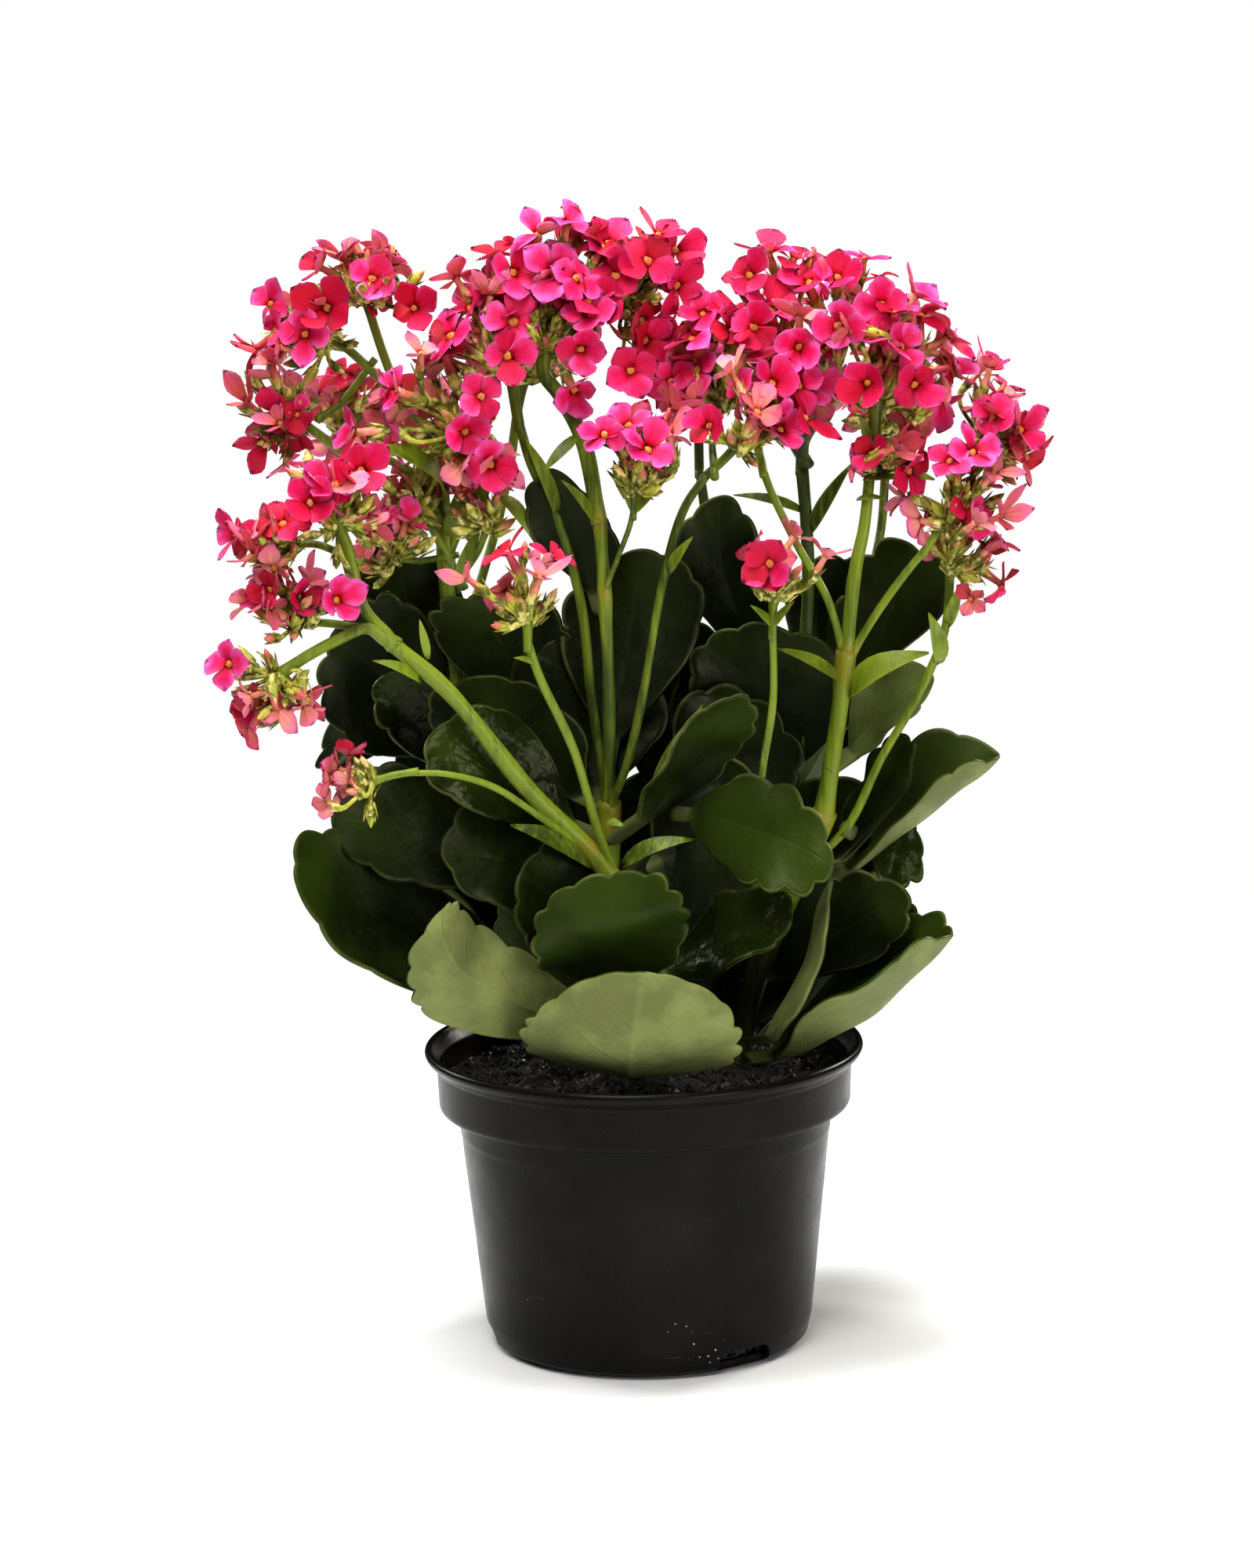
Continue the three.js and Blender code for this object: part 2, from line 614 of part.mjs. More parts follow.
// The peat fills the pot to just under the lip and rises a little around the stems.
function peatSolid(grow) {
  const off = WALL + GAP - grow;
  const crownRadius = 20;
  const shoulderWidth = 4;
  return turned([
    [0, WALL + GAP - grow],
    [FOOT_RADIUS - WALL, WALL + GAP - grow],
    [BODY_LOW_RADIUS - off, BODY_LOW_HEIGHT + 2 * BAND_FLARE],
    [BODY_TOP_RADIUS - off, BAND_BOTTOM + GAP],
    [BAND_RADIUS - off, BAND_BOTTOM + BAND_STEP + 2 * GAP],
    [BAND_RADIUS - off, PEAT_LEVEL - PEAT_SHOULDER + grow],
    [BAND_RADIUS - off - shoulderWidth, PEAT_LEVEL + grow],
    [crownRadius, PEAT_CROWN - PEAT_SHOULDER / 2 + grow],
    [0, PEAT_CROWN + grow],
  ]);
}

// A tube of constant radius along a smooth line through the given points.
function tubeSolid(radius, points) {
  const section = new THREE.Shape();
  const sides = radius < STALK_RADIUS ? STALK_SIDES : STEM_SIDES;
  for (let i = 0; i < sides; i++) {
    const angle = (i / sides) * 2 * Math.PI;
    const x = radius * Math.cos(angle);
    const y = radius * Math.sin(angle);
    if (i) section.lineTo(x, y);
    else section.moveTo(x, y);
  }
  return solid(new THREE.ExtrudeGeometry(section, {
    steps: 2 * (points.length - 1),
    bevelEnabled: false,
    extrudePath: new THREE.CatmullRomCurve3(points, false, "centripetal"),
  }));
}

function joined(solids) {
  return solids.reduce((whole, next) => whole.add(next));
}

function stemSolid({ foot, lines }, grow) {
  return joined(lines.map(([radius, through], i) => {
    const points = through.map(place);
    if (i === 0) points.unshift(new THREE.Vector3(foot[0], foot[1], PEAT_LEVEL - 1));
    return tubeSolid(radius + grow, points);
  }));
}

// An eight-sided knot where the stalks of a cluster meet.
function hubSolid(centre, radius) {
  const geometry = new THREE.OctahedronGeometry(radius);
  geometry.translate(centre.x, centre.y, centre.z);
  return solid(geometry);
}

// A simple flower: a thin spike from the cluster's node that opens into four petals.
function flowerSolid(node, centre, turn, share, spin, grow) {
  const facing = centre.clone().sub(node).normalize().multiplyScalar(1 - Math.abs(turn));
  facing.add(new THREE.Vector3(0, -turn, FLOWER_LIFT * Math.abs(turn))).normalize();
  const side = new THREE.Vector3(1, 0, 0).cross(facing);
  if (side.length() < 0.1) side.set(0, 1, 0);
  side.normalize().applyAxisAngle(facing, spin);
  const across = facing.clone().cross(side);
  const at = (radius, angle, height) => centre.clone()
    .addScaledVector(side, radius * Math.cos(angle))
    .addScaledVector(across, radius * Math.sin(angle))
    .addScaledVector(facing, height);
  const quarter = Math.PI / 2;
  const long = FLOWER_WIDTH * share / 2 + grow;
  const short = FLOWER_WIDTH * share * NOTCH_SHARE + grow;
  const points = [node.clone()];
  for (let i = 0; i < 4; i++) points.push(at(THROAT_RADIUS + grow, i * quarter, -THROAT_DEPTH - grow));
  for (let i = 0; i < 8; i++) points.push(at(i % 2 ? short : long, i * quarter / 2, PETAL_RISE));
  points.push(at(0, 0, CENTRE_RISE + grow));
  const faces = [];
  for (let i = 0; i < 4; i++) {
    const next = (i + 1) % 4;
    const lobe = 5 + 2 * i;
    const notch = lobe + 1;
    const nextLobe = 5 + 2 * next;
    faces.push([0, 1 + next, 1 + i]);
    faces.push([1 + i, notch, lobe], [1 + i, 1 + next, notch], [1 + next, nextLobe, notch]);
    faces.push([13, lobe, notch], [13, notch, nextLobe]);
  }
  return solidOf(points, faces);
}

// The same flower with room around its petals, for the pieces that give way to it.
function flowerRoom(node, centre, turn, share, spin, grow) {
  return [-grow, grow].map((shift) => {
    const lift = new THREE.Vector3(0, -shift, shift * 0.5);
    return flowerSolid(node, centre.clone().add(lift), turn, share, spin, grow);
  });
}

function headSolid({ stalks, clusters }, grow) {
  const pieces = stalks.map(([radius, through]) => tubeSolid(radius + grow, through.map(place)));
  for (const [nodePlace, flowers] of clusters) {
    const node = place(nodePlace);
    pieces.push(hubSolid(node, HUB_RADIUS + grow));
    flowers.forEach(([x, z, depth, turn, share = 1], i) => {
      const spin = i * FLOWER_SPIN;
      const centre = place([x, z, depth]);
      if (grow) pieces.push(...flowerRoom(node, centre, turn, share, spin, grow));
      else pieces.push(flowerSolid(node, centre, turn, share, spin, 0));
    });
  }
  return joined(pieces);
}

// How far a leaf reaches to its edges, as a share of its widest, along its length from 0 to 1.
function leafOutline(along) {
  const stalk = 0.1;
  const blade = Math.max(0, (along - stalk) / (1 - stalk));
  return Math.max(STALK_REACH * (1 - blade), Math.sin(Math.PI * Math.pow(blade, 1.12)) ** 0.6);
}

// A leaf: a blade with an ovate outline around a curved midrib, folded where its edges say so,
// with a straight stalk to its foot.
function leafSolid(places, grow) {
  const rings = [0, 0.15, 0.32, 0.5, 0.68, 0.84, 0.97];
  const [base, middle, tip, left, right, foot] = places.map(place);
  const bend = middle.clone().multiplyScalar(2).addScaledVector(base, -0.5).addScaledVector(tip, -0.5);
  const midrib = new THREE.QuadraticBezierCurve3(base, bend, tip);
  const sides = [left.clone().sub(middle), right.clone().sub(middle)];
  const across = left.clone().sub(right).normalize();
  const thick = LEAF_THICKNESS / 2 + grow;
  const edge = LEAF_EDGE / 2 + grow;
  const points = [];
  const addRing = (centre, way, reach) => {
    const up = way.clone().cross(across).normalize();
    const at = (side, height) => {
      const point = centre.clone().addScaledVector(up, height);
      if (side) point.add(side.clone().setLength(side.length() * reach + LEAF_MARGIN + grow));
      return point;
    };
    points.push(at(sides[0], edge), at(sides[0], -edge), at(null, -thick));
    points.push(at(sides[1], -edge), at(sides[1], edge), at(null, thick));
  };
  if (foot) addRing(foot, base.clone().sub(foot), STALK_REACH);
  for (const along of rings) addRing(midrib.getPoint(along), midrib.getTangent(along), leafOutline(along));
  const faces = [[0, 1, 5], [1, 2, 5], [5, 2, 3], [5, 3, 4]];
  const last = points.length - 6;
  for (let ring = 0; ring < last; ring += 6) {
    for (let i = 0; i < 6; i++) {
      const a = ring + i;
      const b = ring + ((i + 1) % 6);
      faces.push([a, a + 6, b], [b, a + 6, b + 6]);
    }
  }
  faces.push(...[[0, 5, 1], [1, 5, 2], [5, 3, 2], [5, 4, 3]].map((f) => f.map((i) => i + last)));
  return solidOf(points, faces);
}

function apart(a, b) {
  const [p, q] = [a.boundingBox(), b.boundingBox()];
  return [0, 1, 2].some((i) => p.max[i] < q.min[i] || q.max[i] < p.min[i]);
}

// What is left of a solid after it gives way to those already placed: its largest part.
function givenWay(made, rooms) {
  let left = made;
  for (const room of rooms) {
    if (!apart(left, room)) left = left.subtract(room);
  }
  const parts = left.decompose().sort((a, b) => b.volume() - a.volume());
  return parts[0];
}

const part = new THREE.Group();
const rooms = [];

function addPiece(name, shape, look, ...form) {
  const material = new THREE.MeshStandardMaterial(look);
  const made = givenWay(shape(...form, 0), rooms);
  rooms.push(shape(...form, GAP));
  const mesh = new THREE.Mesh(geometryOf(made), material);
  mesh.name = name;
  part.add(mesh);
}

addPiece("pot", potSolid, { color: 0x1d1c1b, roughness: 0.42, metalness: 0 });
addPiece("peat", peatSolid, { color: 0x1f1610, roughness: 0.95, metalness: 0 });
for (const [name, form] of Object.entries(STEMS)) {
  addPiece(name, stemSolid, { color: 0x7f8f2a, roughness: 0.5, metalness: 0 }, form);
}
for (const [name, form] of Object.entries(LEAVES)) {
  addPiece(name, leafSolid, { color: 0x2c3d16, roughness: 0.35, metalness: 0 }, form);
}
for (const [name, form] of Object.entries(HEADS)) {
  addPiece(name, headSolid, { color: 0xe0245e, roughness: 0.55, metalness: 0 }, form);
}

export default part;
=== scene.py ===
"""The looks of a potted kalanchoe: pot, peat, stems, leaves and flower heads around a fixed frame.

Lengths are millimetres until a mesh is made, and metres from there on. A spot is a place read in a front
view: x and z are where it shows in the upright plane through the pot's axis, seen from EYE, and depth is
its true Y.
"""

import bpy
import numpy as np
from mathutils import Matrix


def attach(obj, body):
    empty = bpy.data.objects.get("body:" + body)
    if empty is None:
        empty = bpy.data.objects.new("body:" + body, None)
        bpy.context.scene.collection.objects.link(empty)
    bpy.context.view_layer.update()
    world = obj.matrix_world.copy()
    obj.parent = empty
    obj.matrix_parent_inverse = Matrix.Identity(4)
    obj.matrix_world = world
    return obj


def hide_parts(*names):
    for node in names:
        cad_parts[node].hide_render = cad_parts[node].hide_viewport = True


bl_info = {
    "name": "Potted kalanchoe",
    "version": (1, 0, 0),
    "blender": (4, 5, 0),
    "location": "3D View > Sidebar > Kalanchoe",
    "description": "Grows the leaves, stems, flowers, peat and pot of a kalanchoe around its frame",
    "category": "Object",
}

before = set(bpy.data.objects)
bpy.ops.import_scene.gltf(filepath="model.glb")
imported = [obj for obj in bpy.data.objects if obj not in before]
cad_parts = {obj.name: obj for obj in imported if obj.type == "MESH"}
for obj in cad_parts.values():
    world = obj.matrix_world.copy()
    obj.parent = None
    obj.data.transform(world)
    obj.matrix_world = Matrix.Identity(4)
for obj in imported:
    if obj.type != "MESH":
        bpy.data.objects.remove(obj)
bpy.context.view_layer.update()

MM = 0.001
SEED = 11
INNER_LEAF_SEED = SEED + 60
HEAD_SEED = SEED + 100
INNER_HEAD_SEED = SEED + 150

# The eye of the front view, and the camera's aim, tilt and reach
EYE = (-3.1, -1471.5, 445.8)
AIM = (-3.1, 0.0, 154.7)
CAMERA_ROLL = -1.19
CAMERA_REACH = 7068 / 2000
CAMERA_SENSOR = 36
VIEW_GAMMA = 0.85

# The soft lights: place and the height they aim at, in metres, width and colour
LIGHTS = {
    "top": [(-0.12, 0.12, 1.7), 0.1, 0.9, (1.0, 0.99, 0.97)],
    "key": [(-0.3, -0.95, 1.3), 0.18, 0.8, (1.0, 0.97, 0.91)],
    "side": [(1.1, 0.9, 0.75), 0.15, 0.5, (1.0, 0.95, 0.86)],
    "back": [(-1.2, 0.8, 0.7), 0.15, 0.5, (1.0, 0.98, 0.94)],
    "fill": [(0.95, -1.35, 0.22), 0.15, 0.8, (1.0, 0.99, 0.97)],
}

# A stem has its foot, x and y on the peat, and its lines: each a radius and the spots it passes. The first
# line starts at the foot.
STEMS = {
    "front_left": [[-1, -9], [
        [3.6, [-3, 104, -14], [-6, 129, -20]],
        [2.7, [-6, 127, -20], [-14, 137, -22], [-30, 154, -26], [-51, 181.5, -31], [-66, 195, -34]],
        [1.1, [-14, 136, -22], [-28, 147, -30], [-40, 155, -36], [-52, 158.5, -40], [-62, 159, -42]],
        [1.5, [-7, 130, -20], [-11.5, 143, -26], [-17.5, 165, -34], [-26, 184.5, -40], [-29, 194, -42]],
    ]],
    "centre": [[-6, 10], [
        [3.4, [-8, 110, 3], [-8, 150, -2]],
        [2.1, [-8, 148, -2], [-7.5, 182, -6], [-8, 205, -8], [-9, 228, -8]],
        [2.3, [-9, 226, -8], [-13, 249, -6], [-19, 261, -5]],
        [1.6, [-8, 146, 0], [-12, 177, 6], [-14.5, 205, 6], [-20.5, 228, 4], [-27, 243, 2], [-30, 254, 1]],
        [1.4, [-8, 148, -3], [-3, 160, -10], [1.5, 178, -13], [8, 211, -16], [14, 230, -18],
         [20, 238.5, -19]],
        [0.9, [-8.6, 206, -8], [-4.6, 216, -13], [-1, 225, -18], [0, 229, -20]],
    ]],
    "right": [[24, 0], [
        [3.6, [33, 106, -3], [46, 135, -6], [50.6, 146, -8]],
        [2.9, [50, 144, -8], [54.8, 174, -12], [56.8, 190, -13]],
        [2.1, [56.6, 188, -13], [59.7, 213, -14], [62, 223.5, -14], [64.2, 243, -14], [65, 250, -14]],
        [1.3, [56.5, 187, -12], [52, 204, -16], [44.6, 218, -12], [37.3, 233.5, -10], [35, 240, -9]],
        [1.3, [57, 187, -13], [65, 200, -16], [72.8, 210.6, -18], [79, 218, -19]],
        [1.3, [33, 106, -3], [31, 130, -16], [33.5, 156.5, -28], [36.8, 177, -34], [37, 196, -38]],
        [1.4, [44, 130, -5], [56, 141, -6], [66, 160.5, -10], [76, 177.5, -12], [83, 193.5, -12],
         [84.5, 203, -12]],
    ]],
    "back_right": [[20, 26], [
        [2.6, [34, 130, 28], [43, 170, 30]],
        [2.2, [42.5, 168, 30], [46.6, 205, 28], [46.5, 224, 26], [45.5, 240, 24]],
        [1.6, [42, 166, 31], [34, 190, 46], [22, 215, 57], [18, 240, 61]],
        [1.6, [43.5, 172, 31], [58, 195, 45], [66, 220, 55], [68, 240, 59]],
    ]],
    "back_left": [[-22, 22], [
        [2.6, [-34, 125, 24], [-45, 165, 24], [-50, 205, 22], [-50.3, 230, 20]],
        [1.5, [-50.2, 226, 20], [-58, 240, 16], [-68, 245.5, 14], [-77, 247, 13]],
        [1.6, [-50.3, 228, 20], [-51, 242, 16], [-56, 254, 14]],
        [1.4, [-50, 218, 21], [-44, 232, 14], [-42, 240, 6]],
        [1.6, [-46, 168, 26], [-44, 200, 46], [-36, 228, 58], [-32, 246, 61]],
        [1.6, [-46, 172, 25], [-60, 195, 44], [-68, 220, 54]],
    ]],
}

# A flower head has stalks, which are lines like a stem's, and clusters. A cluster has the number of the
# stalk whose end is its node, and its flowers, [x, z, depth, turn, width share]. A turn of 1 faces the
# front, -1 the back, and at 0 the flower follows its pedicel.
HEADS = {
    "left": [[
        [1.5, [-66.8, 195.8, -34], [-72, 199, -36], [-79, 196.5, -37], [-88, 192, -37], [-96, 187, -37]],
        [1.5, [-67, 196.5, -34.2], [-73, 205, -35], [-76.6, 220.7, -35], [-80, 229, -34]],
        [1.1, [-70, 198.6, -35], [-83, 200.5, -33], [-91, 201, -32]],
        [1, [-76, 218, -35], [-85, 222, -32], [-92, 222, -30]],
    ], [
        [0, [-110, 190, -40, 0.3], [-104, 181, -42, 0.5, 0.8], [-97.5, 177, -44, 0.3], [-90, 178, -40, 0],
         [-106, 173, -36, 0, 0.8]],
        [1, [-79, 238.5, -44, 0.8, 1.15], [-72.5, 242, -36, 0.5], [-86.5, 233.5, -44, 0.8],
         [-70, 226, -30, 0.2, 0.8]],
        [2, [-80, 207, -42, 0.6], [-104, 206.5, -36, 0], [-98, 210, -40, 0.3, 0.8],
         [-88, 212.5, -36, 0, 0.9]],
        [3, [-98, 228, -40, 0.6], [-107, 225, -32, 0.4], [-102, 219.5, -38, 0.5], [-97, 215.5, -40, 0.5]],
    ]],
    "low_left": [[
        [1, [-62.8, 159, -42], [-67, 158.3, -42], [-72, 156.8, -42]],
    ], [
        [0, [-83.5, 158, -43, 0.2, 0.8], [-84, 151, -44, 0.3, 0.8], [-81, 160.5, -40, 0, 0.7]],
    ]],
    "front_left": [[
        [1.2, [-29, 195, -42], [-29, 200, -42]],
    ], [
        [0, [-25.4, 212, -50, 0.85], [-34, 219, -44, 0.3], [-45, 212, -44, 0, 0.9],
         [-22, 217, -38, 0.1, 0.8], [-33, 209, -34, -0.3, 0.8]],
    ]],
    "upper_left": [[
        [1.3, [-78, 247.2, 13], [-84, 252, 12], [-92, 258, 12]],
        [1.2, [-56.6, 254.8, 14], [-62, 261, 14], [-74.6, 274, 12], [-80, 278, 12]],
        [1.2, [-61, 259.5, 14], [-66, 274, 12], [-70, 288, 10]], [1, [-77, 260, 14], [-84, 255.5, 13]],
        [1, [-70, 269, 13], [-77, 260, 14]],
    ], [
        [0, [-95.5, 271.5, 6, 0.3], [-102.5, 261, 6, 0.2], [-94, 255, 2, 0.4, 0.9],
         [-98, 250, 6, 0.2, 0.9], [-92.5, 244, 8, 0.2, 0.8], [-90, 262, 22, -0.5]],
        [1, [-80.5, 285.5, 4, 0.5, 1.1], [-95.5, 287, 10, 0, 0.9], [-94.5, 280, 8, 0.1, 0.9],
         [-86.5, 278.5, 2, 0.4], [-100, 275, 10, 0, 0.9], [-84, 288, 20, -0.4]],
        [2, [-76, 300, 8, 0], [-82, 296.5, 8, 0, 0.9], [-63.5, 297, 10, 0], [-68, 293, 2, 0.4],
         [-57.2, 285, 2, 0.85, 0.95], [-70, 298, 20, -0.4]],
    ]],
    "inner_left": [[
        [1.3, [-42, 240.5, 5.6], [-42.5, 246, 1], [-44, 251, -2]],
    ], [
        [0, [-37.8, 242.5, -14, 0.9, 1.1], [-44.5, 251.5, -12, 0.6], [-55.7, 273, -12, 0.85],
         [-62.5, 263, -10, 0.2], [-74, 252, -10, 0.1], [-64, 250, -4, 0], [-40, 261, -14, 0.8, 0.95],
         [-52, 259, 10, -0.4]],
    ]],
    "crown_left": [[
        [1.5, [-30.2, 255, 1], [-31.3, 263, 0], [-32, 268, 0]],
    ], [
        [0, [-48, 277.5, -4, 0.4, 1.2], [-42.5, 285, 0, 0.3], [-36.8, 288, -6, 0.3],
         [-30.8, 281, -10, 0.7, 1.15], [-32.4, 271.6, -14, 0.95, 1.05], [-46, 293, 4, 0.1, 0.9],
         [-30.4, 294, -6, 0.8, 1.1], [-35, 299, 4, 0], [-40, 278, 12, -0.5], [-28, 290, 14, -0.3]],
    ]],
    "crown": [[
        [1.9, [-19.6, 262, -5], [-23, 267, -5], [-22, 275, -5]],
        [1.4, [-22, 274, -5], [-12, 280, 2], [0, 286, 4]],
    ], [
        [0, [-19.6, 293.5, -10, 0.6, 1.1], [-13.5, 292, -12, 0.6], [-23.5, 304.5, -4, 0.2, 0.9],
         [-15.8, 307, -4, 0], [-11, 306, 4, 0, 0.9], [-12.9, 273, -16, 0.9], [-11, 282.5, -12, 0.6],
         [-15, 262, -10, 0.5], [-24, 290, 8, -0.4]],
        [1, [-3.5, 292.5, -8, 0.8, 1.1], [-5, 301.5, -2, 0.4], [8.3, 303.5, 0, 0.3], [13, 299, 4, 0.2],
         [5.3, 296.5, -6, 0.5, 1.1], [-6, 284.5, -10, 0.6], [4.5, 275, -4, 0.5], [0.2, 267, -12, 0.85],
         [11, 264, -6, 0.6, 0.9], [6, 294, 16, -0.5]],
    ]],
    "front_centre": [[
        [0.9, [0.2, 230, -20.4], [0.5, 236, -23]],
    ], [
        [0, [-7.4, 250, -30, 0.7, 0.9], [-1, 252.5, -27, 0.5, 0.9], [4.3, 246, -32, 0.4],
         [10, 250, -26, 0.3, 1.1], [11, 256.5, -20, 0, 0.9]],
    ]],
    "centre_right": [[
        [1.2, [20.8, 239.2, -19], [24, 242, -20], [29, 247, -21]],
        [0.9, [22, 240.4, -19.4], [21.7, 249, -12], [24.4, 257, -6]],
    ], [
        [0, [34, 255.5, -34, 0.95, 1.3], [27, 266.5, -28, 0.6], [47, 253.5, -24, 0.1, 1.1],
         [40, 250.5, -28, 0.2], [38, 263, -26, 0.4]],
        [1, [19.6, 282, -4, 0.5, 0.95], [16.5, 275.5, -8, 0.5, 1.1], [18, 267, -10, 0.4],
         [33.3, 278, -12, 0.7, 1.1], [24, 272, 8, -0.4]],
    ]],
    "right_mid": [[
        [1.2, [34.8, 241, -9], [33.8, 247, -6], [36, 254, -3]],
    ], [
        [0, [45.5, 281, -12, 0.6, 1.25], [45, 272.5, -18, 0.85, 1], [48, 262, -12, 0.3], [37, 270, 6, 0],
         [54, 262, -4, 0]],
    ]],
    "back_right": [[
        [1.7, [45.6, 241, 24], [46, 247, 20], [50, 254, 14]],
        [1.3, [45.8, 243, 23], [41, 251, 18], [39, 262, 12]],
    ], [
        [0, [55.7, 291, 4, 0.5], [48, 290, 2, 0.4], [60, 285, 12, -0.2], [63, 296, 10, 0, 0.8]],
        [1, [32.3, 292, 2, 0.85], [37.2, 298, 8, 0], [44, 296, 8, 0, 0.9], [34, 284, 12, -0.2]],
    ]],
    "right": [[
        [1.7, [65.1, 251, -14], [65.6, 258, -13]], [0.9, [64.6, 246, -14], [68, 241, -18]],
    ], [
        [0, [63.2, 262.5, -26, 0.95], [76, 261.8, -24, 0.95], [55.8, 277.8, -20, 0.85, 1.05],
         [65.8, 275, -18, 0.5, 1.15], [67.3, 283.5, -14, 0.6], [76.5, 286, -8, 0.3, 1.1],
         [72.5, 272, -20, 0.5], [85, 274, -8, 0.2, 1.1], [87, 265, -10, 0.2], [84, 257.5, -14, 0.2, 1.1],
         [74, 278, 4, -0.4]],
        [1, [70.7, 245, -28, 0.7], [74.5, 238.5, -24, 0.3], [60, 242, -18, 0, 0.8]],
    ]],
    "outer_right": [[
        [1.1, [79.3, 218.4, -19], [85, 227, -19]], [1, [85, 226, -19], [91, 236, -14], [94, 246, -8]],
    ], [
        [0, [77, 225, -20, -0.4, 0.9], [92, 224.5, -30, 0.6, 0.9], [99, 226, -24, 0.5, 0.9],
         [85, 241, -26, 0.2, 0.9], [91.5, 243.5, -24, 0.4], [97, 238, -24, 0.3]],
        [1, [99.5, 257.5, -12, 0.5], [104.5, 249, -12, 0.4], [97, 253, -18, 0.4, 0.9],
         [96, 266, -4, 0, 0.8], [106, 241.5, -10, 0.1, 0.9], [98, 250, 4, -0.4]],
    ]],
    "low_right": [[
        [1.2, [84.6, 204, -12], [85, 213, -12]],
    ], [
        [0, [99, 207, -14, 0, 0.9], [97, 219, -16, 0, 0.9], [90, 222, -8, 0, 0.8],
         [80, 218, -4, -0.3, 0.8]],
    ]],
    "front_right": [[
        [1.1, [37, 197, -38], [37.3, 205, -38]],
    ], [
        [0, [36.3, 214.3, -48, 0.9], [43, 221.5, -40, 0.2, 0.9], [51.5, 216, -38, 0, 0.9],
         [33, 218, -30, -0.3, 0.8]],
    ]],
    "back_left": [[
        [1.3, [-68.3, 221, 55], [-72, 240, 53], [-72, 252, 51]],
    ], [
        [0, [-84, 262, 51, -0.3], [-76, 268, 59, -0.4], [-66, 266, 55, -0.2], [-80, 250, 59, -0.5],
         [-70, 256, 65, -0.8], [-60, 262, 61, -0.6]],
    ]],
    "back_crown": [[
        [1.3, [-31.8, 247, 61], [-30, 258, 59], [-28, 266, 57]],
    ], [
        [0, [-40, 276, 61, -0.4], [-32, 286, 57, -0.1], [-20, 288, 57, -0.1], [-14, 276, 63, -0.5],
         [-34, 270, 71, -0.8], [-22, 274, 73, -0.8], [-28, 284, 67, -0.5]],
    ]],
    "back_centre": [[
        [1.3, [18, 241, 61], [18, 256, 57]],
    ], [
        [0, [8, 266, 59, -0.3], [16, 274, 53, -0.1], [26, 270, 59, -0.3], [30, 262, 65, -0.6],
         [12, 262, 69, -0.8], [22, 266, 71, -0.8], [6, 280, 53, -0.2]],
    ]],
    "back_outer": [[
        [1.3, [68.1, 241, 59], [68, 252, 55]],
    ], [
        [0, [56, 262, 57, -0.3], [64, 270, 51, -0.2], [76, 268, 53, -0.2], [82, 258, 55, -0.3],
         [66, 258, 69, -0.8], [76, 256, 67, -0.8], [70, 276, 43, -0.2]],
    ]],
}

